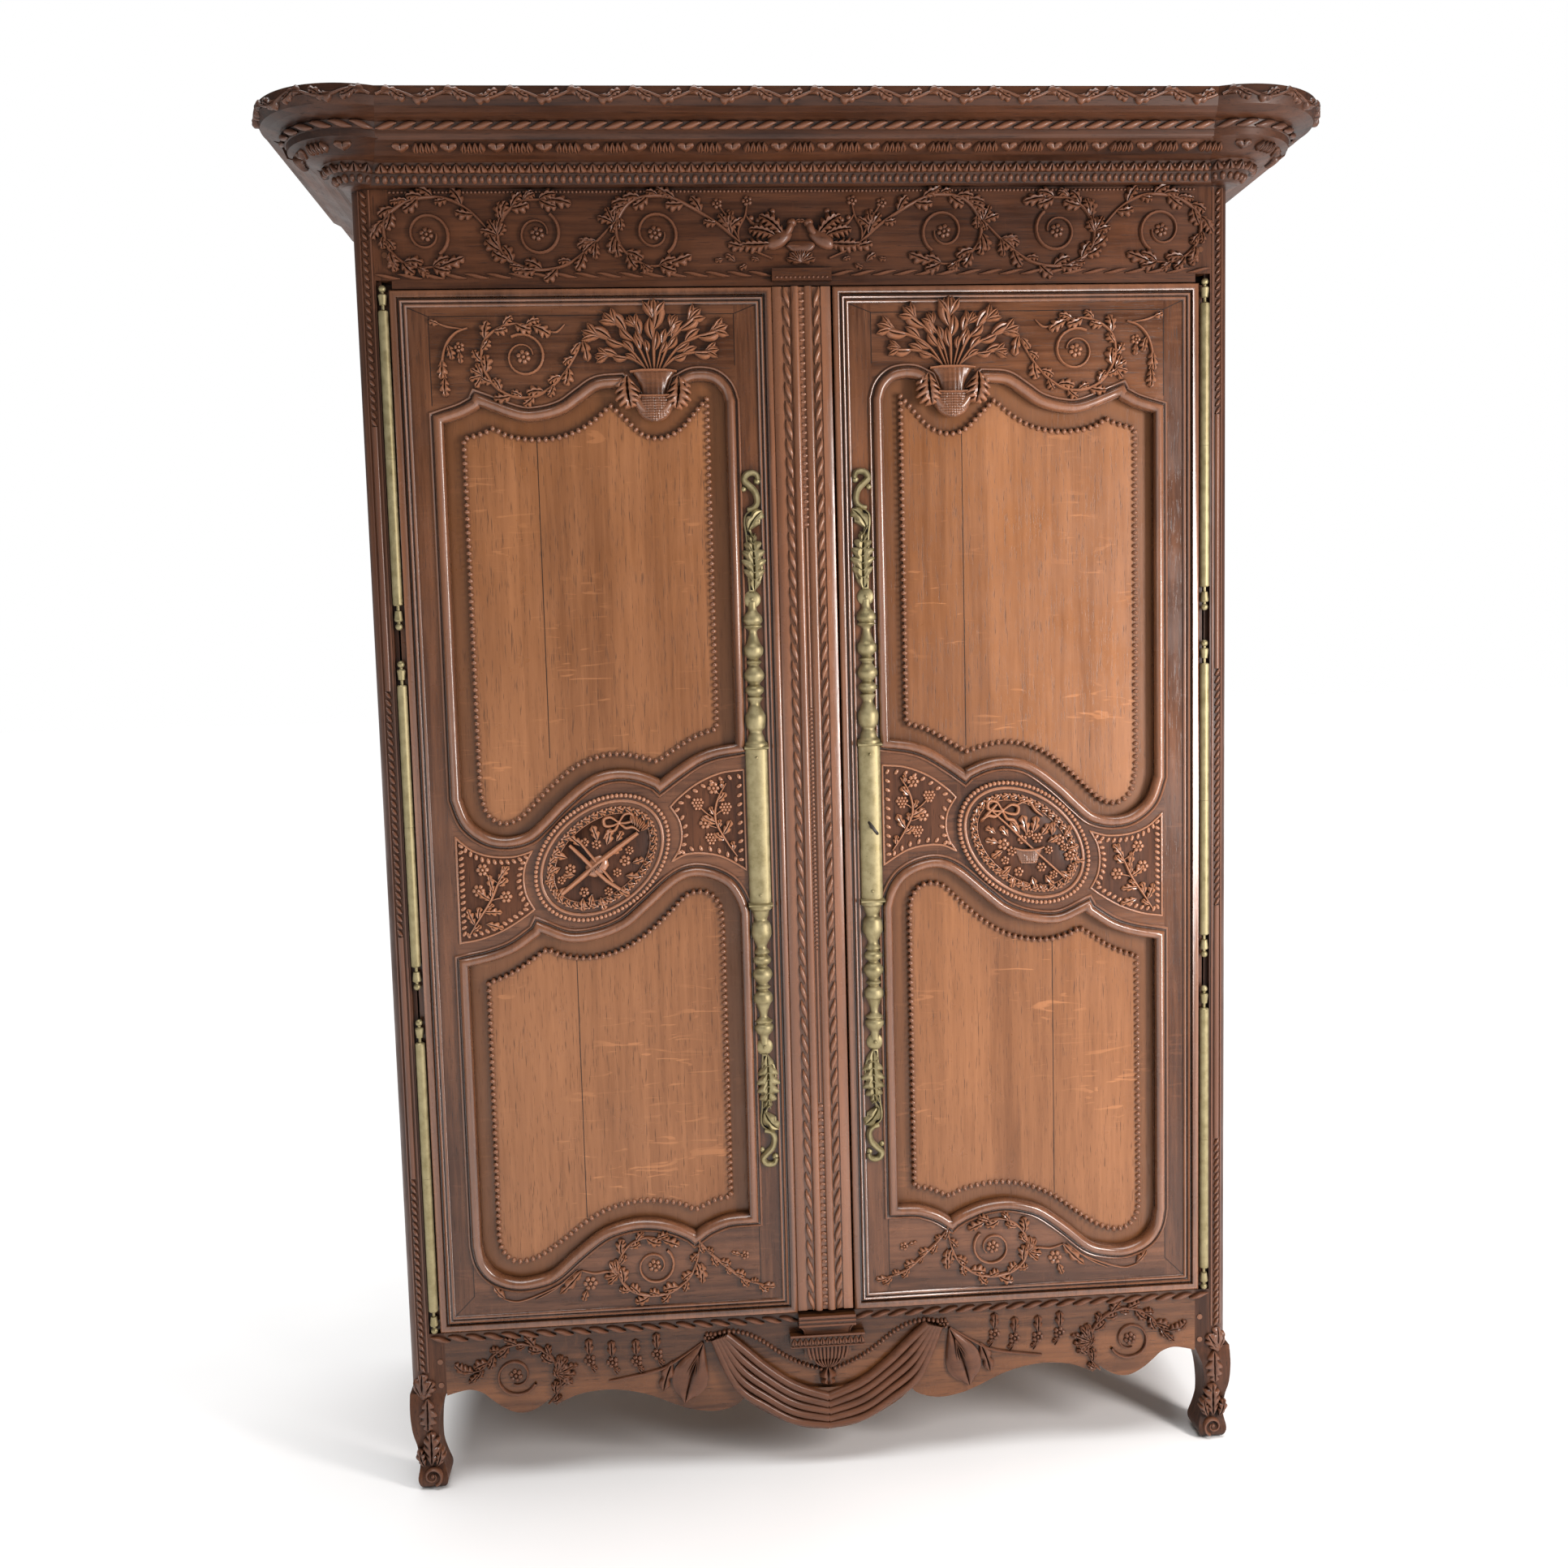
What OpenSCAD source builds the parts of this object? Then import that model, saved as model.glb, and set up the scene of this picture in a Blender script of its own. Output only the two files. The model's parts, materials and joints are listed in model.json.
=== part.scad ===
// Two-door carved oak wedding armoire on scroll feet.
// Millimetres, +Z up, front towards -Y, origin on the floor under the middle of the whole piece.

/* [Case] */
// Width over the corner posts
body_w = 1486; // [1470:2:1510]
// Depth from the front faces of the doors to the back
body_d = 503; // [480:1:560]
// Height to the top of the cornice
total_h = 2350; // [2340:5:2400]
// Width of a front corner post
post_w = 65; // [62:1:70]
// Depth of a front corner post
post_d = 60; // [56:1:70]
// Radius of a front post's outer corner
post_round = 38; // [20:1:45]
// Section of a rear corner post, each way
rear_post = 45; // [40:1:50]
// Height of the top shelf's upper face
upper_shelf_z = 1500; // [1400:10:1550]
// Height of the bottom shelf's upper face
lower_shelf_z = 900; // [800:10:1000]
// Thickness of the shelves and the floor
shelf_t = 20; // [18:1:22]

/* [Cornice] */
// Height of the cornice
cornice_h = 115; // [115:1:120]
// How far the cornice stands out in front of the doors
cornice_out = 136; // [134:1:140]
// Plan radius of a corner block at its top
block_r = 155; // [154:1:157]

/* [Doors] */
// Height of a door
door_h = 1789; // [1785:1:1789]
// Height of the doors' bottom edge above the floor
door_z = 284; // [284:1:287]
// Thickness of a door
door_t = 26; // [25:1:27]
// Width of the fixed centre stile that the left door carries
false_w = 100; // [96:1:100]
// Gap around and between the doors
door_gap = 3; // [3:0.5:4]

/* [Hinges] */
// Distance of a hinge axis from the middle of the armoire
hinge_x = 694; // [693.5:0.5:694.5]
// Radius of a hinge barrel
barrel_r = 8.25; // [7.5:0.25:8.25]
// Length of one half of a hinge barrel
barrel_half = 242; // [200:1:243]
// Spacing of the three hinges
hinge_pitch = 617; // [600:1:618]
// Radius of a hinge pin
pin_r = 4; // [3.5:0.1:4.5]
// Radial clearance of a pin in its door half
pin_play = 0.05; // [0.02:0.01:0.1]

/* [Lock] */
// Height of the keyhole
keyhole_z = 1157; // [1150:1:1165]
// Distance of the keyhole from the middle of the armoire
keyhole_x = 98; // [97:1:100]
// Radius of the key's shank
key_r = 3.5; // [3:0.1:4]
// Radius of the round door bolts
bolt_r = 4.5; // [4:0.1:5]

/* [Hidden] */
$fn = 48;
eps = 0.01;
half_w = body_w / 2;
face_y = cornice_out + 11 - (body_d + cornice_out + 11) / 2;
post_in = half_w - post_w;
case_top = total_h - cornice_h;
apron_top = door_z - door_gap;
door_top = door_z + door_h;
frieze_z = door_top + door_gap;
meet_x = false_w / 2 + 1.5;
door_out = hinge_x - 11;
lip_x = hinge_x;
hinge_y = -2;
seam_mid = 1182;
shoulder_in = 116;
shoulder_out = 622;
open_in = 134;
open_out = 604;
skin_t = 12;
back_y = body_d - 22;
rear_in = half_w - rear_post - 10;
wood = "sienna";
dark_wood = "saddlebrown";
field_wood = "peru";
brass = "khaki";
iron = "dimgray";

// ---------- Curves ----------

// A smooth line through the points p, n steps from one point to the next.
function smooth(p, n = 5) = concat(
    [for (i = [0:len(p) - 2])
        let (a = p[max(i - 1, 0)], b = p[i], c = p[i + 1], d = p[min(i + 2, len(p) - 1)])
        for (k = [0:n - 1])
            let (t = k / n)
            0.5 * (2 * b + (c - a) * t + (2 * a - 5 * b + 4 * c - d) * t * t
                + (3 * b - a - 3 * c + d) * t * t * t)],
    [p[len(p) - 1]]);

// Smooth stretches in p that meet at sharp cusps, joined into one line.
function cusped(p) = [for (s = p) each smooth(s)];

function backwards(p) = [for (i = [len(p) - 1:-1:0]) p[i]];

// Edges of the door's carved openings, on the right door, from the meeting side outwards.
upper_top_edge = cusped([
    [[open_in, 1885], [141, 1905], [158, 1919], [185, 1921], [205, 1912]],
    [[213, 1890], [230, 1868], [253, 1858], [276, 1868], [292, 1890]],
    [[313, 1912], [345, 1909], [372, 1892], [402, 1872], [440, 1861], [480, 1861], [543, 1884]],
    [[544, 1882], [570, 1868], [open_out, 1857]]]);
middle_top_edge = cusped([
    [[open_in, 1308], [172, 1302], [205, 1290], [240, 1268], [265, 1250]],
    [[266, 1251], [300, 1265], [337, 1270], [372, 1264], [402, 1248], [440, 1217], [472, 1186],
        [497, 1166], [530, 1159], [562, 1166], [590, 1190], [open_out, 1228]]]);
middle_low_edge = cusped([
    [[open_in, 1012], [141, 1035], [158, 1060], [187, 1075], [217, 1078], [247, 1064],
        [292, 1025], [332, 993], [382, 975], [432, 972], [478, 990]],
    [[479, 988], [520, 960], [560, 945], [open_out, 936]]]);
bottom_top_edge = cusped([
    [[open_in, 470], [172, 468], [207, 456], [229, 442]],
    [[230, 443], [255, 456], [292, 468], [332, 471], [372, 463], [402, 450], [442, 420],
        [482, 386], [512, 375], [547, 373], [580, 386], [598, 410], [open_out, 440]]]);

// Outlines of the raised panel fields.
upper_field = concat(
    cusped([
        [[165, 1892], [185, 1870], [207, 1846], [227, 1833], [252, 1828], [277, 1836],
            [302, 1860], [326, 1883]],
        [[328, 1883], [352, 1862], [382, 1843], [420, 1831], [460, 1829], [500, 1836], [522, 1849]],
        [[524, 1849], [540, 1841], [573, 1832]]]),
    cusped([
        [[573, 1245], [565, 1205], [548, 1186], [530, 1182], [508, 1190], [480, 1216], [450, 1245],
            [410, 1276], [370, 1292], [335, 1296], [300, 1290], [271, 1281]],
        [[269, 1281], [240, 1300], [202, 1322], [165, 1334]]]));
lower_field = concat(
    cusped([
        [[165, 990], [169, 1025], [185, 1046], [207, 1051], [228, 1044], [252, 1020], [292, 984],
            [332, 958], [372, 945], [412, 942], [450, 950], [469, 960]],
        [[471, 960], [492, 946], [522, 926], [552, 912], [573, 906]]]),
    cusped([
        [[575, 450], [570, 425], [553, 406], [530, 403], [500, 413], [460, 440], [420, 470],
            [380, 490], [340, 500], [300, 501], [252, 492], [230, 480]],
        [[228, 480], [215, 486], [190, 497], [165, 501]]]));

// Lower edge of the apron, from the middle to the post.
apron_edge = cusped([
    [[0, 63], [40, 66], [70, 75], [100, 91], [130, 112], [149, 128]],
    [[151, 128], [165, 116], [190, 108], [215, 107], [250, 114], [280, 126], [320, 144],
        [360, 155], [400, 159], [440, 155], [465, 147], [487, 136]],
    [[500, 147], [515, 136], [535, 127], [557, 127], [580, 138], [600, 154], [615, 167],
        [635, 174], [655, 172], [post_in, 166]]]);

// Cornice profile as [how far out, height above its bottom], from the bottom up.
cornice_steps = [
    [0, 0], [8, 1], [12, 3], [24, 17], [28, 19], [38, 29], [40, 31], [56, 36], [60, 38], [84, 50],
    [90, 52], [92, 62], [94, 63], [98, 74], [102, 76], [118, 81], [cornice_out - 6, 87],
    [cornice_out, 100], [cornice_out, cornice_h]];
side_steps = [
    [0, 0], [10, 2], [30, 22], [60, 40], [95, 52], [104, 74], [118, 81], [cornice_out - 6, 87],
    [cornice_out + 1, 100], [cornice_out + 1, cornice_h]];

// Front and side outlines of a scroll foot; the side outline is [depth, height].
foot_front = concat(
    smooth([[half_w, 172], [half_w, 140], [740, 105], [734, 75], [730, 45], [733, 20], [727, 4],
        [716, 0]]),
    smooth([[696, 0], [685, 6], [681, 20], [687, 42], [694, 70], [694, 110], [690, 140],
        [post_in, 172]]));
foot_side = concat(
    smooth([[0, 172], [-7, 140], [-7, 105], [-1, 75], [-4, 45], [-13, 20], [-10, 5], [0, 0]]),
    smooth([[42, 0], [48, 20], [44, 50], [46, 100], [post_d, 172]]));

// Half widths of a keyplate's turned part as [radius, height above the middle box].
baluster = [
    [0, 0], [20, 0], [20, 8], [16, 12], [14, 20], [11, 28], [16, 35], [18, 45], [18, 55], [14, 64],
    [9, 76], [14, 86], [10, 90], [16, 97], [15, 104], [9, 110], [15, 117], [18, 125], [15, 133],
    [9, 142], [14, 148], [9, 153], [16, 161], [17, 172], [12, 180], [7, 200], [16, 208], [13, 212],
    [17, 218], [15, 227], [8, 236], [8, 244], [0, 244]];
box_mid = 1163;
box_half = 136;

// ---------- Placing ----------

// Moves the design frame, whose y = 0 is the door faces, to the whole piece's own frame.
module at_face() {
    translate([0, face_y, 0])
        children();
}

module both_sides() {
    children();
    mirror([1, 0, 0])
        children();
}

// A block from corner a to corner b.
module block(a, b) {
    translate(a)
        cube(b - a);
}

// An outline given as [x, z], made solid from y0 to y1.
module slab_xz(points, y0, y1) {
    translate([0, y1, 0])
        rotate([90, 0, 0])
            linear_extrude(y1 - y0)
                polygon(points);
}

// ---------- Cornice ----------

module corner_shape() {
    start_r = block_r - cornice_out;
    translate([half_w - 18, 8, case_top])
        rotate_extrude($fn = 96)
            polygon(concat([[0, 0]], [for (s = cornice_steps) [s[0] + start_r, s[1]]],
                [[0, cornice_h]]));
}

module cornice_front() {
    color(dark_wood)
        at_face()
            difference() {
                translate([-half_w + 36, 0, case_top])
                    rotate([90, 0, 90])
                        linear_extrude(body_w - 72)
                            polygon(concat([[14, 0]], [for (s = cornice_steps) [-s[0], s[1]]],
                                [[14, cornice_h]]));
                both_sides()
                    corner_shape();
            }
}

module cornice_corner() {
    color(dark_wood)
        at_face()
            difference() {
                corner_shape();
                block([half_w - 300, 14, case_top - 1], [half_w - 14, 300, total_h + 1]);
            }
}

module cornice_side() {
    color(dark_wood)
        at_face()
            difference() {
                translate([half_w, body_d, case_top])
                    rotate([90, 0, 0])
                        linear_extrude(body_d - 8)
                            polygon(concat([[-14, 0]], side_steps, [[-14, cornice_h]]));
                corner_shape();
            }
}

module top_boards() {
    count = 4;
    pitch = (body_d - 15) / count;
    color(wood)
        at_face()
            for (i = [0:count - 1])
                block([-half_w + 15, 15 + i * pitch, case_top],
                    [half_w - 15, 14 + (i + 1) * pitch, case_top + 14]);
}

// ---------- Case front ----------

module frieze_rail() {
    color(dark_wood)
        at_face()
            difference() {
                union() {
                    block([-post_in, 0, frieze_z], [post_in, 28, case_top]);
                    block([-post_in, 28, frieze_z - 22], [post_in, 48, case_top]);
                    block([-50, -12, frieze_z + 6], [50, eps, frieze_z + 26]);
                }
                translate([-keyhole_x + 15, 35, frieze_z - 30])
                    cylinder(r = bolt_r + 0.5, h = 34);
            }
}

module apron_rail() {
    right_edge = apron_edge;
    left_edge = [for (q = backwards(apron_edge)) [-q[0], q[1]]];
    drape_inner = smooth([[-196, 244], [-160, 205], [-110, 165], [-50, 146], [0, 142],
        [50, 146], [110, 165], [160, 205], [196, 244]]);
    drape_outer = smooth([[210, 248], [185, 185], [149, 129], [100, 94], [50, 71], [0, 65],
        [-50, 71], [-100, 94], [-149, 129], [-185, 185], [-210, 248]]);
    color(dark_wood)
        at_face() {
            slab_xz(concat([[post_in, apron_top], [-post_in, apron_top]], left_edge, right_edge),
                0, 24);
            slab_xz(concat(drape_inner, drape_outer), -8, eps);
            block([-51, -20, 262], [51, eps, apron_top - 1]);
            block([-67, -20, 224], [67, eps, 245]);
            slab_xz([[-26, 200], [-42, 204], [-42, 224], [42, 224], [42, 204], [26, 200]], -14, eps);
        }
}

module front_post() {
    hole_z = [[186, 229], [2130, 2205]];
    color(wood)
        at_face()
            difference() {
                union() {
                    difference() {
                        block([post_in, 0, 170], [half_w, post_d, case_top]);
                        difference() {
                            block([half_w - post_round, -1, 169],
                                [half_w + 1, post_round, case_top + 1]);
                            translate([half_w - post_round, post_round, 168])
                                cylinder(r = post_round, h = case_top, $fn = 96);
                        }
                    }
                    intersection() {
                        slab_xz(foot_front, -20, post_d);
                        rotate([90, 0, 90])
                            translate([0, 0, post_in - 5])
                                linear_extrude(post_w + 10)
                                    polygon(foot_side);
                    }
                }
                block([post_in - 1, -1, apron_top], [hinge_x + 10, 9, frieze_z + 14]);
                block([post_in - 1, -1, apron_top], [hinge_x + 3, door_t + 2, frieze_z + 14]);
                for (pair = hole_z, z = pair)
                    translate([post_in + 9, -1, z])
                        rotate([-90, 0, 0])
                            cylinder(r = 5, h = 30);
                for (k = [-1:1])
                    blade_slot(seam_mid + k * hinge_pitch, -1);
            }
}

module rear_post() {
    color(wood)
        at_face()
            block([rear_in, body_d - rear_post, 0], [half_w, body_d, case_top]);
}

module frame_pegs() {
    color(field_wood)
        at_face()
            both_sides()
                for (z = [186, 229, 2130, 2205])
                    translate([post_in + 9, -1.2, z])
                        rotate([-90, 0, 0])
                            cylinder(r = 4.9, h = 29);
}

// ---------- Case sides, back and inside ----------

side_x = half_w - 31;
side_rear = body_d - rear_post;
side_levels = [170, 300, 1100, 1200, 2090];

module side_rail(z0, z1) {
    color(wood)
        at_face()
            block([side_x, post_d, z0], [side_x + 26, side_rear, z1]);
}

module side_panel(z0, z1) {
    margin = 45;
    color(field_wood)
        at_face() {
            block([side_x + 6, post_d, z0], [side_x + 16, side_rear, z1]);
            block([side_x + 15, post_d + margin, z0 + margin],
                [side_x + 22, side_rear - margin, z1 - margin]);
        }
}

module back_rail(z0, z1) {
    color(wood)
        at_face()
            block([-rear_in, back_y, z0], [rear_in, body_d, z1]);
}

module back_boards() {
    count = 7;
    board = 2 * rear_in / count;
    color(wood)
        at_face()
            for (i = [0:count - 1])
                block([-rear_in + i * board + 0.5, back_y + 3, 330],
                    [-rear_in + (i + 1) * board - 0.5, back_y + 17, 2100]);
}

// Boards that fill the case from side to side at one level.
module inner_floor(z1, front) {
    middle = (post_d + side_rear) / 2;
    for (span = front ? [[24, post_d - 1]] : [])
        block([-post_in + 1, span[0], z1 - shelf_t], [post_in - 1, span[1], z1]);
    block([-side_x + 1, post_d + 1, z1 - shelf_t], [side_x - 1, middle - 0.5, z1]);
    union() {
        block([-side_x + 1, middle + 0.5, z1 - shelf_t], [side_x - 1, side_rear - 1, z1]);
        block([-rear_in + 1, side_rear - 2, z1 - shelf_t], [rear_in - 1, back_y - 1, z1]);
    }
}

module floor_boards() {
    color(wood)
        at_face()
            difference() {
                inner_floor(apron_top, true);
                translate([-keyhole_x + 15, 35, apron_top - shelf_t - 1])
                    cylinder(r = bolt_r + 0.5, h = shelf_t + 2);
            }
}

module shelf(z) {
    color(wood)
        at_face()
            inner_floor(z, false);
}

module shelf_bearers() {
    color(wood)
        at_face()
            both_sides()
                for (z = [apron_top, lower_shelf_z, upper_shelf_z])
                    block([side_x - 22, post_d + 2, z - shelf_t - 28],
                        [side_x, side_rear - 2, z - shelf_t]);
}

// ---------- Hinges ----------

// Slot for a hinge blade: side -1 is the case half below the seam, side 1 the door half above it.
module blade_slot(seam, side) {
    x = side < 0 ? hinge_x + 4 : hinge_x - 3.6;
    z = side < 0 ? seam - barrel_half + 22 : seam + 20;
    block([x, 3, z], [x + 2.4, 20, z + barrel_half - 42]);
}

// Half a hinge, standing on the seam: barrel, neck, cup and ball, around its own axis.
module barrel(bore) {
    difference() {
        rotate_extrude()
            union() {
                polygon([[0, 0.2], [barrel_r, 0.2], [barrel_r, barrel_half - 2],
                    [barrel_r - 2, barrel_half], [2.6, barrel_half], [2.6, barrel_half + 8],
                    [5.5, barrel_half + 9], [7.2, barrel_half + 24], [6, barrel_half + 26],
                    [2.6, barrel_half + 27], [2.6, barrel_half + 32], [0, barrel_half + 32]]);
                translate([0, barrel_half + 35])
                    intersection() {
                        circle(r = 6);
                        translate([0, -6])
                            square([6, 12]);
                    }
            }
        translate([0, 0, -1])
            cylinder(r = bore, h = 61);
    }
}

module hinge_lower_halves() {
    color(brass)
        at_face()
            both_sides()
                for (k = [-1:1]) {
                    translate([hinge_x, hinge_y, seam_mid + k * hinge_pitch])
                        mirror([0, 0, 1])
                            barrel(pin_r + 0.02);
                    blade_slot(seam_mid + k * hinge_pitch, -1);
                }
}

module hinge_pins() {
    color(iron)
        at_face()
            both_sides()
                for (k = [-1:1])
                    translate([hinge_x, hinge_y, seam_mid + k * hinge_pitch - 58])
                        cylinder(r = pin_r, h = 114);
}

module hinge_upper_halves() {
    color(brass)
        at_face()
            for (k = [-1:1]) {
                translate([hinge_x, hinge_y, seam_mid + k * hinge_pitch])
                    barrel(pin_r + pin_play);
                blade_slot(seam_mid + k * hinge_pitch, 1);
            }
}

// ---------- Door woodwork, drawn on the right door ----------

module hinge_stile() {
    color(wood)
        at_face()
            difference() {
                union() {
                    block([shoulder_out, 0, door_z], [door_out, door_t, door_top]);
                    block([door_out - 1, 10, door_z], [lip_x, door_t, door_top]);
                    block([open_out, 0, 1228], [shoulder_out + 1, skin_t, 1857]);
                    block([open_out, 0, 440], [shoulder_out + 1, skin_t, 936]);
                }
                for (k = [-1:1])
                    blade_slot(seam_mid + k * hinge_pitch, 1);
            }
}

module meeting_stile(bored) {
    color(wood)
        at_face()
            difference() {
                union() {
                    block([meet_x, 0, door_z], [shoulder_in, door_t, door_top]);
                    block([shoulder_in - 1, 0, 1308], [open_in, skin_t, 1885]);
                    block([shoulder_in - 1, 0, 470], [open_in, skin_t, 1012]);
                }
                if (bored)
                    translate([keyhole_x, -1, keyhole_z])
                        rotate([-90, 0, 0])
                            cylinder(r = 6, h = door_t + 2);
            }
}

module top_rail() {
    color(wood)
        at_face() {
            slab_xz(concat([[shoulder_out, 1857], [shoulder_out, door_top],
                [shoulder_in, door_top], [shoulder_in, 1885]], upper_top_edge), 0, skin_t + eps);
            block([shoulder_in, skin_t, 1958], [shoulder_out, door_t, door_top]);
        }
}

module middle_rail() {
    tilt = -38.7;
    color(wood)
        at_face() {
            slab_xz(concat([[shoulder_in, 1012], [shoulder_in, 1308]], middle_top_edge,
                [[shoulder_out, 1228], [shoulder_out, 936]], backwards(middle_low_edge)),
                0, skin_t + eps);
            block([shoulder_in, skin_t, 1098], [shoulder_out, door_t, 1146]);
            slab_xz([for (a = [0:7.5:352.5])
                [369 + 130 * cos(a) * cos(tilt) - 95 * sin(a) * sin(tilt),
                    1118 + 130 * cos(a) * sin(tilt) + 95 * sin(a) * cos(tilt)]], -5, eps);
        }
}

module bottom_rail() {
    color(wood)
        at_face() {
            slab_xz(concat([[shoulder_out, 440], [shoulder_out, door_z], [shoulder_in, door_z],
                [shoulder_in, 470]], bottom_top_edge), 0, skin_t + eps);
            block([shoulder_in, skin_t, door_z], [shoulder_out, door_t, 360]);
        }
}

module door_panel(field, z0, z1) {
    color(field_wood)
        at_face() {
            block([shoulder_in + 0.2, skin_t + 0.2, z0], [shoulder_out - 0.2, 21, z1]);
            slab_xz(field, 6, skin_t + 0.3);
        }
}

module false_stile() {
    color(wood)
        at_face() {
            block([-meet_x, -6, door_z + 3], [-meet_x + false_w, 24, door_top]);
            for (x = [-36, 17])
                block([-1.5 + x, -10, door_z + 3], [-1.5 + x + 16, -5, door_top]);
        }
}

// ---------- Keyplates, drawn on the right door ----------

disc_z = 391;
disc_t = 6;
box_t = 12;

// A band w wide along the points p.
function band(p, w) = let (
    last = len(p) - 1,
    side = [for (i = [0:last])
        let (d = p[min(i + 1, last)] - p[max(i - 1, 0)])
        [-d[1], d[0]] / norm(d) * w / 2])
    concat([for (i = [0:last]) p[i] + side[i]], [for (i = [last:-1:0]) p[i] - side[i]]);

module keyplate_end() {
    leaf = smooth([[-5, 404], [-17, 425], [-20, 447], [-16, 467], [-9, 487], [-2, 505], [-1, 518],
        [-5, 526], [-11, 520], [-17, 518], [-16, 536], [-4, 542], [8, 534], [11, 520], [8, 495],
        [8, 460], [7, 442], [-2, 435], [-4, 427], [10, 424], [9, 412], [5, 404]], 3);
    scroll = smooth([[-16, 592], [-13, 601], [-5, 604], [4, 601], [8, 592], [1, 584], [-9, 574],
        [-13, 562], [-12, 551], [-5, 546], [4, 546], [9, 552]], 4);
    intersection() {
        translate([0, 0, box_half])
            rotate_extrude()
                polygon(baluster);
        block([-30, -30, 0], [30, 0, 500]);
    }
    translate([0, 0, disc_z])
        rotate([90, 0, 0])
            cylinder(r = 15, h = disc_t);
    slab_xz(leaf, -5, 0);
    slab_xz(band(scroll, 8), -5, 0);
    block([-8, -5, 538], [4, 0, 547]);
}

module keyplate(bored) {
    color(brass)
        at_face()
            difference() {
                translate([keyhole_x, 0, box_mid]) {
                    linear_extrude(2 * box_half + 1, center = true)
                        polygon([[-19, 0], [-19, -5], [-11, -box_t], [11, -box_t], [19, -5], [19, 0]]);
                    keyplate_end();
                    rotate([0, 180, 0])
                        keyplate_end();
                }
                if (bored)
                    translate([keyhole_x, -15, keyhole_z])
                        rotate([-90, 0, 0])
                            cylinder(r = key_r + 1, h = 20);
            }
}

// A domed nail head of radius r on a plate that stands out by t.
module nail_head(z, t, r) {
    translate([keyhole_x, -t, z])
        intersection() {
            sphere(r = r);
            block([-r, -r, -r], [r, 0, r]);
        }
}

module keyplate_nails() {
    color(brass)
        at_face()
            for (s = [-1, 1]) {
                nail_head(box_mid + s * disc_z, disc_t, 3);
                nail_head(box_mid + s * 120, box_t, 2.6);
            }
}

// ---------- Lock and bolts ----------

lock_in = meet_x + 3;
lock_out = 152;
lock_low = keyhole_z - 38;
lock_high = keyhole_z + 42;

module lock_case() {
    color(iron)
        at_face()
            difference() {
                block([lock_in, door_t, lock_low], [lock_out, door_t + 18, lock_high]);
                block([lock_in + 2, door_t + 2, lock_low + 2],
                    [lock_out - 2, door_t + 16, lock_high - 2]);
                block([lock_in - 1, door_t + 3.7, keyhole_z + 18.7],
                    [lock_in + 3, door_t + 12.3, keyhole_z + 33.3]);
                translate([keyhole_x, door_t - 1, keyhole_z])
                    rotate([-90, 0, 0])
                        cylinder(r = key_r + 0.05, h = 20);
            }
}

module lock_bolt() {
    color("silver")
        at_face()
            block([lock_in - 0.5, door_t + 4, keyhole_z + 19], [lock_out - 24, door_t + 12,
                keyhole_z + 33]);
}

module lock_strike() {
    color(iron)
        at_face()
            difference() {
                block([18, 24, keyhole_z + 8], [45, 42, keyhole_z + 44]);
                block([20, door_t + 2, keyhole_z + 17], [46, door_t + 14, keyhole_z + 35]);
            }
}

module key() {
    bow_tilt = -55;
    color(iron)
        at_face()
            translate([keyhole_x, 0, keyhole_z]) {
                translate([0, -24, 0])
                    rotate([-90, 0, 0])
                        cylinder(r = key_r, h = 67);
                translate([0, -36, 0])
                    rotate([0, -bow_tilt, 0])
                        rotate_extrude()
                            translate([12, 0])
                                circle(r = 2.4);
                rotate([0, -bow_tilt, 0])
                    block([2, 31, -1.5], [13, 38, 1.5]);
            }
}

// A round door bolt from z0 to z1 with a knob, on the left door's inner face.
module door_bolt(z0, z1, knob_z) {
    color(iron)
        at_face()
            translate([-keyhole_x + 15, 35, 0]) {
                translate([0, 0, z0])
                    cylinder(r = bolt_r, h = z1 - z0);
                translate([0, bolt_r - 1, knob_z])
                    rotate([-90, 0, 0])
                        cylinder(r = 4, h = 12);
                translate([0, bolt_r + 14, knob_z])
                    sphere(r = 7);
            }
}

module bolt_guides() {
    color(iron)
        at_face()
            translate([-keyhole_x + 15, 0, 0])
                for (z = [1850, 2010, 320, 460])
                    difference() {
                        union() {
                            block([-18, door_t, z - 8], [18, door_t + 3, z + 8]);
                            block([-8, door_t, z - 8], [8, 42, z + 8]);
                        }
                        translate([0, 35, z - 9])
                            cylinder(r = bolt_r + 0.05, h = 18);
                    }
}

// ---------- Assembly ----------

module mirrored() {
    mirror([1, 0, 0])
        children();
}

cornice_front();
mirrored() cornice_corner();  // cornice_corner_left
cornice_corner();  // cornice_corner_right
mirrored() cornice_side();  // cornice_side_left
cornice_side();  // cornice_side_right
top_boards();
frieze_rail();
apron_rail();
mirrored() front_post();  // front_post_left
front_post();  // front_post_right
mirrored() rear_post();  // rear_post_left
rear_post();  // rear_post_right
mirrored() side_rail(side_levels[4], case_top);  // side_top_rail_left
mirrored() side_rail(side_levels[2], side_levels[3]);  // side_middle_rail_left
mirrored() side_rail(side_levels[0], side_levels[1]);  // side_bottom_rail_left
mirrored() side_panel(side_levels[3], side_levels[4]);  // side_upper_panel_left
mirrored() side_panel(side_levels[1], side_levels[2]);  // side_lower_panel_left
side_rail(side_levels[4], case_top);  // side_top_rail_right
side_rail(side_levels[2], side_levels[3]);  // side_middle_rail_right
side_rail(side_levels[0], side_levels[1]);  // side_bottom_rail_right
side_panel(side_levels[3], side_levels[4]);  // side_upper_panel_right
side_panel(side_levels[1], side_levels[2]);  // side_lower_panel_right
back_rail(2100, case_top);  // back_top_rail
back_rail(230, 330);  // back_bottom_rail
back_boards();
floor_boards();
shelf(lower_shelf_z);  // lower_shelf
shelf(upper_shelf_z);  // upper_shelf
shelf_bearers();
frame_pegs();
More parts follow.
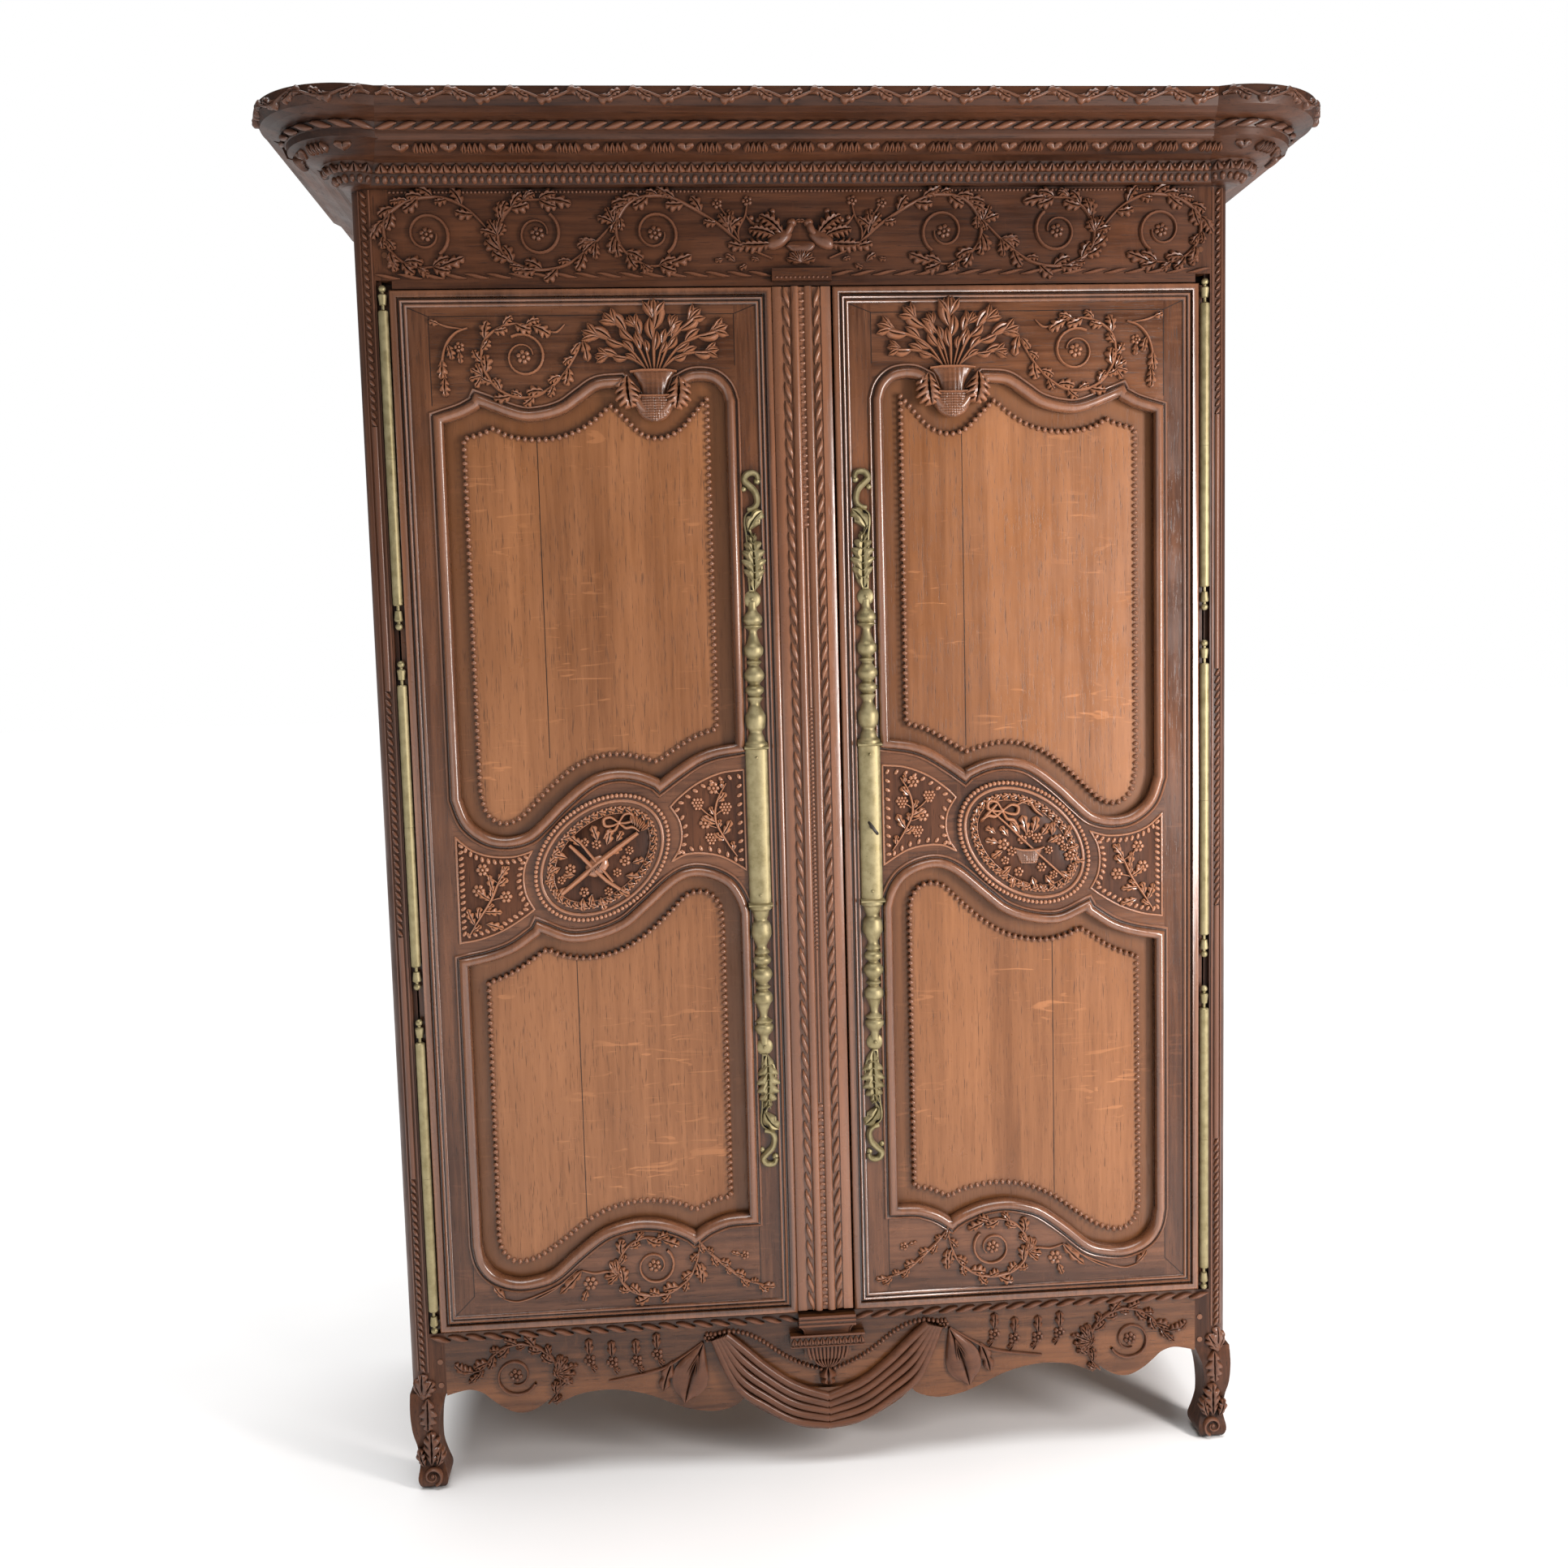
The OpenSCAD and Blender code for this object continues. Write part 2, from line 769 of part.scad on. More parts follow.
hinge_lower_halves();
hinge_pins();
mirrored() hinge_stile();  // left_hinge_stile
mirrored() meeting_stile(false);  // left_meeting_stile
mirrored() top_rail();  // left_top_rail
mirrored() middle_rail();  // left_middle_rail
mirrored() bottom_rail();  // left_bottom_rail
mirrored() door_panel(upper_field, 1148, 1957);  // left_upper_panel
mirrored() door_panel(lower_field, 361, 1097);  // left_lower_panel
false_stile();
mirrored() keyplate(false);  // left_keyplate
mirrored() keyplate_nails();  // left_keyplate_nails
mirrored() hinge_upper_halves();  // left_hinge_upper_halves
door_bolt(1830, frieze_z - 26, 1930);  // left_top_bolt
door_bolt(apron_top + 4, 500, 390);  // left_bottom_bolt
bolt_guides();
lock_strike();
hinge_stile();  // right_hinge_stile
meeting_stile(true);  // right_meeting_stile
top_rail();  // right_top_rail
middle_rail();  // right_middle_rail
bottom_rail();  // right_bottom_rail
door_panel(upper_field, 1148, 1957);  // right_upper_panel
door_panel(lower_field, 361, 1097);  // right_lower_panel
keyplate(true);  // right_keyplate
keyplate_nails();  // right_keyplate_nails
hinge_upper_halves();  // right_hinge_upper_halves
lock_case();
lock_bolt();
key();
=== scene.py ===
"""Carved oak armoire: the looks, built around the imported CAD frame.

Carved work is made from small surface patches, each drawn in the local millimetres of the face it
lies on: u across, v up, h out of the wood. A Carver collects them and puts them on that face.
"""

import json
import math

import bpy
import numpy as np
from mathutils import Matrix, Vector


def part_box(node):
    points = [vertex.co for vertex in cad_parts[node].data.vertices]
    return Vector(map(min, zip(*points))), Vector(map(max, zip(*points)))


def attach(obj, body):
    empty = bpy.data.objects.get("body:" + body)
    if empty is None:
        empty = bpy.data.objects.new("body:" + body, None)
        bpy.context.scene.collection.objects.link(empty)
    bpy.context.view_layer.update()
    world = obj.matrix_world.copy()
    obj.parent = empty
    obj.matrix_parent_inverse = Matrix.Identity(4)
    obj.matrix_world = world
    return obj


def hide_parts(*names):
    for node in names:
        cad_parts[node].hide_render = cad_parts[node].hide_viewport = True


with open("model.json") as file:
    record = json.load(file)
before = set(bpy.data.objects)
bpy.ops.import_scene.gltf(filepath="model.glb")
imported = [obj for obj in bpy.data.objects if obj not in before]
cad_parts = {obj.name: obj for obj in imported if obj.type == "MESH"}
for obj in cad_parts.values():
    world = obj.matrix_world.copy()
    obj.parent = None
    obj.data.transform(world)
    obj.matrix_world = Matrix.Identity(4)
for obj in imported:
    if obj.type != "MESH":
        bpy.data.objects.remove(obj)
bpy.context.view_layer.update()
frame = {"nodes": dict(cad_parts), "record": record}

MM = 0.001
DEPTH = 1.45  # stems and leaves stand this much higher than the rise they are given
SIDES = (("right", False), ("left", True))  # each side and whether it is mirrored


def edge(node, which, axis):
    """One side of a CAD node's box in millimetres."""
    return getattr(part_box(node)[which], axis) / MM


FACE = edge("right_hinge_stile", 0, "y")
DOOR_LOW = edge("right_hinge_stile", 0, "z")
DOOR_TOP = edge("right_hinge_stile", 1, "z")
MEET_X = edge("right_meeting_stile", 0, "x")
DOOR_WIDTH = 631.5
DOOR_OUT = MEET_X + DOOR_WIDTH
OPEN_IN = edge("right_meeting_stile", 1, "x")
CASE_TOP = edge("frieze_rail", 1, "z")
FRIEZE_Z = DOOR_TOP + 3
POST_IN = edge("frieze_rail", 1, "x")
HALF_W = edge("rear_post_right", 1, "x")
CORNICE_OUT = FACE - edge("cornice_front", 0, "y")
BLOCK_X = HALF_W - 18
BLOCK_BACK = 8  # the corner block's centre lies this far behind the doors' face
BLOCK_R = edge("cornice_corner_right", 1, "x") - BLOCK_X
POST_R = 38
KEY_X = 98
BOX_MID = (edge("right_keyplate", 0, "z") + edge("right_keyplate", 1, "z")) / 2


# ---------- Lines ----------


def smooth(points, steps=6):
    """A smooth line through points."""
    p = np.array(points, float)
    out = []
    for i in range(len(p) - 1):
        a, b, c, d = p[max(i - 1, 0)], p[i], p[i + 1], p[min(i + 2, len(p) - 1)]
        for t in np.arange(steps) / steps:
            linear = (c - a) * t
            square = (2 * a - 5 * b + 4 * c - d) * t * t
            cube = (3 * b - a - 3 * c + d) * t ** 3
            out.append((2 * b + linear + square + cube) / 2)
    out.append(p[-1])
    return np.array(out)


def cusped(*stretches):
    """Smooth stretches that meet at sharp cusps."""
    return np.concatenate([smooth(s) for s in stretches])


def turned(u, v, x, y, angle):
    """The points (x, y) turned by angle in radians and moved to (u, v)."""
    cos, sin = np.cos(angle), np.sin(angle)
    return np.stack([u + cos * x - sin * y, v + sin * x + cos * y], -1)


def spiral(u, v, r0, r1, start, turn, steps=30):
    """A spiral about (u, v) from radius r0 at angle start, through turn degrees, to radius r1."""
    s = np.linspace(0, 1, steps)
    angle = np.radians(start + turn * s)
    r = r0 + (r1 - r0) * s
    return np.stack([u + r * np.cos(angle), v + r * np.sin(angle)], -1)


def ellipse(u, v, a, b, tilt, count):
    """count points around a tilted ellipse, evenly spaced along it."""
    angle = np.linspace(0, 2 * math.pi, 721)
    line = turned(u, v, a * np.cos(angle), b * np.sin(angle), math.radians(tilt))
    return spaced(line, count, closed=True)


def spaced(path, count, closed=False):
    """count points evenly spaced along path."""
    p = np.array(path, float)
    run = np.concatenate([[0], np.cumsum(np.linalg.norm(np.diff(p, axis=0), axis=1))])
    if closed:
        at = run[-1] * np.arange(count) / count
    else:
        at = run[-1] * (np.arange(count) + 0.5) / count
    return np.stack([np.interp(at, run, p[:, 0]), np.interp(at, run, p[:, 1])], -1)


def length_of(path):
    return np.linalg.norm(np.diff(np.array(path, float), axis=0), axis=1).sum()


def headings(path):
    """The direction in radians along path at each of its points."""
    d = np.gradient(np.array(path, float), axis=0)
    return np.arctan2(d[:, 1], d[:, 0])


# ---------- Faces that carving lies on ----------


def on_front(u, v, h):
    return np.stack([u, FACE - h, v], -1)


def on_band(p0, z0, p1, z1):
    """The front of the cornice, from (out p0, height z0) up to (p1, z1)."""
    size = math.hypot(p1 - p0, z1 - z0)
    a, b = (p1 - p0) / size, (z1 - z0) / size

    def place(u, v, h):
        return np.stack([u, FACE - (p0 + a * v + b * h), z0 + b * v - a * h], -1)

    return place


def on_block(p0, z0, p1, z1):
    """The same band where it runs round the right corner block; u is measured along the arc."""
    size = math.hypot(p1 - p0, z1 - z0)
    a, b = (p1 - p0) / size, (z1 - z0) / size
    start_r = BLOCK_R - CORNICE_OUT
    middle_r = (p0 + p1) / 2 + start_r

    def place(u, v, h):
        r = start_r + p0 + a * v + b * h
        angle = u / middle_r
        x = BLOCK_X + r * np.sin(angle)
        return np.stack([x, FACE + BLOCK_BACK - r * np.cos(angle), z0 + b * v - a * h], -1)

    return place


def on_post(u, v, h):
    """The rounded corner of the right front post; u is the angle round it in degrees."""
    angle = np.radians(u)
    x = HALF_W - POST_R + (POST_R + h) * np.sin(angle)
    return np.stack([x, FACE + POST_R - (POST_R + h) * np.cos(angle), v], -1)


def add_object(name, data):
    obj = bpy.data.objects.new(name, data)
    bpy.context.scene.collection.objects.link(obj)
    return obj


class Carver:
    """Collects patches of carved work and turns them into one object."""

    def __init__(self, place=on_front, mirror=False, sink=1.5, base=0.0):
        self.place = place
        self.mirror = mirror
        self.sink = sink
        self.base = base
        self.points = []
        self.faces = []
        self.count = 0

    def on(self, place, sink=1.5, base=0.0):
        """Carries on with another face."""
        self.place = place
        self.sink = sink
        self.base = base
        return self

    def patch(self, grid, wrap=False):
        """Adds a grid of (u, v, h) points; wrap joins its last column to its first."""
        du = grid[1:, :-1] - grid[:-1, :-1]
        dv = grid[:-1, 1:] - grid[:-1, :-1]
        up = (du[..., 0] * dv[..., 1] - du[..., 1] * dv[..., 0]).sum()
        n, m = grid.shape[:2]
        index = self.count + np.arange(n * m).reshape(n, m)
        if wrap:
            index = np.concatenate([index, index[:, :1]], axis=1)
        quads = np.stack([index[:-1, :-1], index[1:, :-1], index[1:, 1:], index[:-1, 1:]], -1)
        quads = quads.reshape(-1, 4)
        if (up < 0) != self.mirror:
            quads = quads[:, ::-1]
        world = self.place(grid[..., 0], grid[..., 1], grid[..., 2] + self.base)
        world = world.reshape(-1, 3)
        if self.mirror:
            world = world * (-1, 1, 1)
        self.points.append(world)
        self.faces.append(quads)
        self.count += n * m

    def build(self, name, body, finish, slot, hides=(), sharp=50):
        """Makes the object, on its body, and hides the CAD nodes it stands for."""
        points = np.concatenate(self.points) * MM
        faces = np.concatenate(self.faces)
        mesh = bpy.data.meshes.new(name)
        mesh.from_pydata(points.tolist(), [], faces.tolist())
        mesh.validate()
        mesh.shade_smooth()
        mesh.set_sharp_from_angle(angle=math.radians(sharp))
        mesh.materials.append(finish)
        obj = add_object(name, mesh)
        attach(obj, body)
        if hides:
            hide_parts(*hides)


def carve(name, body, finish, slot, *parts, mirror=False, **more):
    """Draws the parts on a new Carver and builds the object."""
    c = Carver(mirror=mirror)
    for part in parts:
        part(c)
    c.build(name, body, finish, slot, **more)


def both_sides(c, *halves):
    """Draws the halves on the right and, mirrored, on the left."""
    for mirror in (False, True):
        c.mirror = mirror
        for half in halves:
            half(c)
    c.mirror = False


# ---------- Carved elements ----------


def band(c, path, profile, closed=False):
    """A moulding swept along path: profile is (distance to the left of travel, height)."""
    p = np.array(path, float)
    keep = [0] + [i for i in range(1, len(p)) if np.linalg.norm(p[i] - p[i - 1]) > 0.05]
    p = p[keep]
    if closed and np.linalg.norm(p[0] - p[-1]) < 0.05:
        p = p[:-1]
    after = np.roll(p, -1, 0) - p
    before = p - np.roll(p, 1, 0)
    if not closed:
        after[-1] = before[-1]
        before[0] = after[0]
    after /= np.linalg.norm(after, axis=1)[:, None]
    before /= np.linalg.norm(before, axis=1)[:, None]
    n1 = np.stack([-before[:, 1], before[:, 0]], -1)
    n2 = np.stack([-after[:, 1], after[:, 0]], -1)
    mitre = (n1 + n2) / np.maximum(1 + (n1 * n2).sum(1), 0.35)[:, None]
    grid = np.zeros((len(profile), len(p), 3))
    for i, (offset, height) in enumerate(profile):
        grid[i, :, :2] = p + mitre * offset
        grid[i, :, 2] = height
    c.patch(grid, wrap=closed)


def half_round(width, rise, sink=1.5):
    """A profile for band(): a bead width wide, centred on the line."""
    angle = np.linspace(0, math.pi, 7)
    middle = [(-width / 2 * math.cos(a), rise * math.sin(a) ** 0.8) for a in angle[1:-1]]
    return [(-width / 2, -sink), (-width / 2, 0)] + middle + [(width / 2, 0), (width / 2, -sink)]


def stem(c, path, width, rise, thin=0.35, both=True):
    """A rounded stem that thins towards its ends, or towards its far end only."""
    p = np.array(path, float)
    s = np.linspace(0, 1, len(p))
    if both:
        swell = thin + (1 - thin) * np.sin(math.pi * s)
    else:
        swell = thin + (1 - thin) * (1 - s) ** 0.7
    angle = headings(p)
    side = np.stack([-np.sin(angle), np.cos(angle)], -1)
    around = np.linspace(0, math.pi, 6)
    grid = np.zeros((len(p), len(around) + 2, 3))
    for j, a in enumerate(around):
        grid[:, j + 1, :2] = p + side * (swell * width / 2 * math.cos(a))[:, None]
        grid[:, j + 1, 2] = DEPTH * rise * swell ** 0.5 * math.sin(a) ** 0.8
    grid[:, 0] = grid[:, 1]
    grid[:, -1] = grid[:, -2]
    grid[:, [0, -1], 2] = -c.sink
    c.patch(grid)


ACROSS = np.array([-1, -1, -0.78, -0.45, -0.14, 0, 0.14, 0.45, 0.78, 1, 1])
LEAF_H = np.array([0, 0.35, 0.66, 0.98, 0.9, 0.48, 0.9, 0.98, 0.66, 0.35, 0])


def leaf(c, u, v, heading, size, width, lobes=3, bend=0.0, rise=6.0):
    """A lobed leaf from (u, v), its lobes leaning forward, with a sunk midrib."""
    rows = 7 * lobes + 2
    s = np.linspace(0, 1, rows)
    angle = np.radians(heading + bend * s)
    step = size / (rows - 1)
    mid_u = u + step * (np.cumsum(np.cos(angle)) - np.cos(angle[0]))
    mid_v = v + step * (np.cumsum(np.sin(angle)) - np.sin(angle[0]))
    body = np.sin(math.pi * s ** 0.85) ** 0.75
    lobe = np.abs(np.sin(math.pi * lobes * s)) ** 0.7
    half = width * 0.62 * (body * (0.42 + 0.58 * lobe) + 0.05)
    t = ACROSS[None, :]
    lean = 0.55 * np.abs(t) * half[:, None]
    grid = np.zeros((rows, len(ACROSS), 3))
    grid[..., :2] = turned(mid_u[:, None], mid_v[:, None], lean, t * half[:, None], angle[:, None])
    swell = 0.35 + 0.65 * np.sin(math.pi * np.clip(s, 0.04, 0.96)) ** 0.5
    vein = 1 + 0.22 * (lobe[:, None] - 0.6) * np.abs(t)
    grid[..., 2] = DEPTH * rise * LEAF_H[None, :] * swell[:, None] * vein
    grid[:, [0, -1], 2] = -c.sink
    c.patch(grid)


def bar(c, x, section, low, high):
    """An upright bar of one section from low to high; gives back its two ends."""
    grid = np.array([[(x + u, z, h) for u, h in section] for z in (low, high)], float)
    c.patch(grid)
    return grid


def dome(c, u, v, r, rise, stretch=1.0, turn=0.0, base=0.0, sides=8):
    """A bead, drawn out by stretch in the direction turn."""
    rings = np.array([1.0, 1.0, 0.86, 0.55, 0.04])
    heights = np.array([0, 0.2, 0.6, 0.9, 1.0]) * rise + base
    heights[0] = -c.sink
    angle = np.arange(sides) * 2 * math.pi / sides
    x = r * stretch * rings[:, None] * np.cos(angle)
    y = r * rings[:, None] * np.sin(angle)
    high = np.repeat(heights[:, None], sides, 1)
    c.patch(np.dstack([turned(u, v, x, y, math.radians(turn)), high]), wrap=True)


def rosette(c, u, v, r, petals=6, rise=5.0, turn=0.0):
    """A flower with rounded petals and a button."""
    angle = np.arange(petals * 6) * 2 * math.pi / (petals * 6)
    petal = np.abs(np.cos(petals * angle / 2)) ** 0.5
    rings = [(1.0, 0.0), (1.0, 0.35), (0.82, 0.8), (0.55, 0.85), (0.34, 0.4), (0.02, 0.35)]
    grid = np.zeros((len(rings), len(angle), 3))
    for i, (size, high) in enumerate(rings):
        reach = r * size * (0.68 + 0.32 * petal)
        grid[i, :, 0] = u + reach * np.cos(angle + turn)
        grid[i, :, 1] = v + reach * np.sin(angle + turn)
        grid[i, :, 2] = rise * high * (0.6 + 0.4 * petal)
    grid[0, :, 2] = -c.sink
    c.patch(grid, wrap=True)
    dome(c, u, v, r * 0.3, rise * 1.05)


def pad(c, outline, rise, inset=2.0, crown=0.0):
    """A raised closed outline with a soft edge, rising to a crown in the middle."""
    p = np.array(outline, float)
    middle = p.mean(0)
    reach = np.linalg.norm(p - middle, axis=1).mean()
    rings = [(1.0, -c.sink), (1.0, rise * 0.6), (1 - inset / reach * 0.5, rise * 0.92)]
    rings += [(1 - inset / reach, rise), (0.5, rise + crown * 0.75), (0.01, rise + crown)]
    grid = np.zeros((len(rings), len(p), 3))
    for i, (size, high) in enumerate(rings):
        grid[i, :, :2] = middle + (p - middle) * size
        grid[i, :, 2] = high
    c.patch(grid, wrap=True)


def twist(c, start, end, width, pitch, rise, lean=1, fat=0.6):
    """A row of ribbon twists from start to end."""
    a, b = np.array(start, float), np.array(end, float)
    size = np.linalg.norm(b - a)
    along = (b - a) / size
    side = np.array([-along[1], along[0]])
    count = max(1, round(size / pitch))
    step = size / count
    s = np.linspace(-1, 1, 8)
    for k in range(count):
        middle = a + along * step * (k + 0.5)
        path = middle + np.outer(s * step * 0.56, along)
        path = path + np.outer(np.sin(s * math.pi / 2) * width * 0.3 * lean, side)
        stem(c, path, width * fat, rise, thin=0.2)


def beads(c, path, pitch, r, rise, closed=False, stretch=1.0):
    """Beads along path; stretched ones lie across it."""
    count = max(2, round(length_of(path) / pitch))
    at = spaced(path, count, closed)
    turns = np.degrees(headings(at)) + 90
    for (u, v), turn in zip(at, turns):
        dome(c, u, v, r, rise, stretch, turn)


def leafy(c, path, count, size, lobes=3, rise=6.0, spread=48, first=1, width=0.5, one_side=False):
    """Leaves that spring from path, to alternate sides."""
    at = spaced(path, count)
    angle = np.degrees(headings(at))
    for k in range(count):
        side = first if one_side or k % 2 == 0 else -first
        long = size * (0.88 + 0.18 * math.sin(2.1 * k + count))
        heading = angle[k] + side * spread
        leaf(c, at[k, 0], at[k, 1], heading, long, long * width, lobes, -side * 38, rise)


def berries(c, u, v, r=3.0, rise=4.5):
    """A bunch of berries."""
    for row, count in enumerate([3, 4, 3, 2]):
        for k in range(count):
            dome(c, u + (k - (count - 1) / 2) * r * 1.9, v - (row - 1.5) * r * 1.7, r, rise)


def scroll(c, u, v, r, start, turn, width=6.5, rise=4.4, flower=12.0):
    """A spiral stem that ends round a flower."""
    stem(c, spiral(u, v, r, r * 0.42, start, turn), width, rise, thin=0.45, both=False)
    rosette(c, u, v, flower, 6, rise + 1.5, turn=0.3)


# ---------- Materials ----------


class Nodes:
    """Short calls for building a material's nodes."""

    def __init__(self, name):
        self.material = bpy.data.materials.new(name)
        self.material.use_nodes = True
        self.tree = self.material.node_tree
        self.shader = self.tree.nodes["Principled BSDF"]

    def add(self, kind, **values):
        node = self.tree.nodes.new(kind)
        for key, value in values.items():
            if hasattr(node, key):
                setattr(node, key, value)
            else:
                node.inputs[key.replace("_", " ")].default_value = value
        return node

    def put(self, value, socket):
        """Sets the socket where value is a number or a colour, and links it where it is an output."""
        if isinstance(value, (int, float)):
            socket.default_value = value
        elif isinstance(value, tuple):
            socket.default_value = (*value, 1)
        else:
            self.tree.links.new(value, socket)

    def noise(self, coords, scale, detail=3.0, rough=0.55, distort=0.0):
        node = self.add("ShaderNodeTexNoise", Scale=scale, Detail=detail, Roughness=rough,
                        Distortion=distort)
        self.put(coords, node.inputs["Vector"])
        return node.outputs["Fac"]

    def stretched(self, coords, scale, shift):
        node = self.add("ShaderNodeMapping", Scale=scale, Location=shift)
        self.put(coords, node.inputs["Vector"])
        return node.outputs["Vector"]

    def ramp(self, value, *stops):
        node = self.add("ShaderNodeValToRGB")
        self.put(value, node.inputs["Fac"])
        ramp = node.color_ramp
        while len(ramp.elements) < len(stops):
            ramp.elements.new(0.5)
        for element, (place, colour) in zip(ramp.elements, stops):
            element.position = place
            element.color = (*colour, 1)
        return node.outputs["Color"]

    def level(self, value, low, high, out_low=0.0, out_high=1.0):
        node = self.add("ShaderNodeMapRange", From_Min=low, From_Max=high, To_Min=out_low,
                        To_Max=out_high)
        self.put(value, node.inputs["Value"])
        return node.outputs["Result"]

    def hollows(self, distance, low, high, most):
        """How deep the point lies in a hollow, up to most."""
        node = self.add("ShaderNodeAmbientOcclusion", samples=4, Distance=distance)
        return self.level(node.outputs["AO"], low, high, most, 0.0)

    def mix(self, factor, a, b):
        node = self.add("ShaderNodeMix", data_type="RGBA")
        for value, at in ((factor, 0), (a, 6), (b, 7)):
            self.put(value, node.inputs[at])
        return node.outputs[2]

    def math(self, operation, a, b):
        node = self.add("ShaderNodeMath", operation=operation)
        self.put(a, node.inputs[0])
        self.put(b, node.inputs[1])
        return node.outputs[0]

    def finished(self, colour, rough, relief, strength, distance):
        """The material, with its colour, its roughness and its bumps joined up."""
        bump = self.add("ShaderNodeBump", Strength=strength, Distance=distance)
        self.put(relief, bump.inputs["Height"])
        for value, name in ((colour, "Base Color"), (rough, "Roughness"),
                            (bump.outputs["Normal"], "Normal")):
            self.put(value, self.shader.inputs[name])
        return self.material


GRAIN = {"x": (0.05, 1, 1), "y": (1, 0.05, 1), "z": (1, 1, 0.05)}
FLECK = {"x": (1, 1, 0.16), "y": (0.16, 1, 1), "z": (0.16, 1, 1)}


def oak(name, dark, light, grain="z", seed=0.0, fleck=0.25, rough=0.4, coat=0.12, wear=0.0, spread=0.1,
        plank=None, sunk=None, shine=0.42):
    """Oak with streaks and pores along the grain, ray flecks, painted shade in hollows, and edges
    lightened as wear and painted highlight.

    spread is how far the grain's tone strays: more is softer. plank is (axis, width in metres) of
    glued boards. Where y is above sunk the wood is darker: painted shade in the sunk border round a
    raised field. shine is the specular level. wear lightens edges, partly as wear and
    partly as painted highlight; it needs a dense mesh, so it is for carved work and not for the
    frame's long flat faces.
    """
    n = Nodes(name)
    place = n.add("ShaderNodeTexCoord").outputs["Object"]
    along = n.stretched(place, GRAIN[grain], (seed * 1.37, seed * 0.71, seed * 0.93))
    across = n.stretched(place, FLECK[grain], (seed * 0.53, seed * 0.31, seed * 0.77))

    broad = n.noise(along, 9.0, 2.0, 0.5, 0.8)
    streak = n.noise(along, 95.0, 5.0, 0.65, 0.35)
    pore = n.noise(along, 620.0, 2.0, 0.6)
    cloud = n.noise(place, 3.2, 3.0)
    tone = n.math("ADD", n.math("MULTIPLY", broad, 0.4), n.math("MULTIPLY", streak, 0.4))
    tone = n.math("ADD", tone, n.math("MULTIPLY", cloud, 0.2))
    parts = n.add("ShaderNodeSeparateXYZ")
    n.put(place, parts.inputs["Vector"])
    if plank:
        axis, width = plank
        shifted = n.math("ADD", parts.outputs[axis], seed * 0.037)
        board = n.math("FLOOR", n.math("DIVIDE", shifted, width), 0.0)
        random_tone = n.add("ShaderNodeTexWhiteNoise", noise_dimensions="1D")
        n.put(board, random_tone.inputs["W"])
        tone = n.math("ADD", tone, n.level(random_tone.outputs["Value"], 0, 1, -0.04, 0.04))
    middle = tuple((a + b) / 2 for a, b in zip(dark, light))
    colour = n.ramp(tone, (0.505 - spread, dark), (0.505, middle), (0.505 + spread, light))
    pores = n.level(pore, 0.40, 0.30)
    colour = n.mix(n.math("MULTIPLY", pores, 0.7), colour, tuple(a * 0.3 for a in dark))
    if fleck:
        rays = n.level(n.noise(across, 75.0, 2.0, 0.5, 1.6), 0.61, 0.66)
        patch = n.level(n.noise(place, 5.0, 2.0), 0.47, 0.62)
        rays = n.math("MULTIPLY", n.math("MULTIPLY", rays, patch), fleck)
        colour = n.mix(rays, colour, tuple(min(1, b * 1.45) for b in light))

    # painted shade: ambient occlusion darkens the wood in hollows and next to the carving
    colour = n.mix(n.hollows(0.013, 0.28, 0.84, 0.95), colour, tuple(a * 0.12 for a in dark))
    # painted shade: the sunk border round a raised field is darkened
    if sunk is not None:
        border = n.level(parts.outputs["Y"], sunk, sunk + 0.002, 0.0, 0.62)
        colour = n.mix(border, colour, tuple(a * 0.7 for a in dark))
    # edges lightened by pointiness: partly wear, partly painted highlight on carved edges
    if wear:
        edge_of = n.add("ShaderNodeNewGeometry").outputs["Pointiness"]
        wear_and_glint = n.level(edge_of, 0.505, 0.56, 0.0, wear)
        colour = n.mix(wear_and_glint, colour, tuple(min(1, b * 1.9 + 0.02) for b in light))

    gloss = n.level(n.noise(place, 14.0, 4.0), 0.3, 0.7, rough - 0.08, rough + 0.12)
    gloss = n.math("ADD", gloss, n.math("MULTIPLY", pores, 0.2))
    for value, name in ((shine, "Specular IOR Level"), (coat, "Coat Weight"), (0.2, "Coat Roughness")):
        n.put(value, n.shader.inputs[name])
    relief = n.math("ADD", n.math("MULTIPLY", pores, -0.7), n.math("MULTIPLY", streak, 0.5))
    return n.finished(colour, gloss, relief, 0.28, 0.0006)


def metal(name, dark, light, tarnish, rough=0.34, scale=60.0, metallic=1.0, soil=0.6):
    """Old metal: mottled, and tarnished in the hollows."""
    n = Nodes(name)
    place = n.add("ShaderNodeTexCoord").outputs["Object"]
    mottle = n.noise(place, scale, 5.0, 0.6)
    spots = n.noise(place, scale * 6, 3.0, 0.6)
    colour = n.ramp(mottle, (0.3, dark), (0.62, light))
    colour = n.mix(n.level(spots, 0.62, 0.75, 0.0, 0.55), colour, tarnish)
    colour = n.mix(n.hollows(0.008, 0.2, 0.8, soil), colour, tarnish)
    n.put(metallic, n.shader.inputs["Metallic"])
    return n.finished(colour, n.level(mottle, 0.3, 0.7, rough, rough + 0.18), spots, 0.12, 0.0004)


WOODS = {
    "dark_oak": dict(dark=(0.036, 0.0115, 0.0045), light=(0.128, 0.046, 0.02), fleck=0.1, rough=0.4,
                     spread=0.1, coat=0.05, shine=0.28),
    "frame_oak": dict(dark=(0.068, 0.0235, 0.0095), light=(0.21, 0.083, 0.038), fleck=0.15, rough=0.25,
                      spread=0.1),
    "panel_oak": dict(dark=(0.195, 0.07, 0.022), light=(0.37, 0.152, 0.06), fleck=0.55, rough=0.34,
                      spread=0.14),
    "inner_oak": dict(dark=(0.16, 0.085, 0.04), light=(0.33, 0.2, 0.11), fleck=0.3, rough=0.65,
                      coat=0.0, spread=0.15),
}
BRASS = metal("brass_old", (0.255, 0.208, 0.1), (0.4, 0.338, 0.188), (0.08, 0.06, 0.024), 0.42,
              metallic=0.72, soil=0.25)
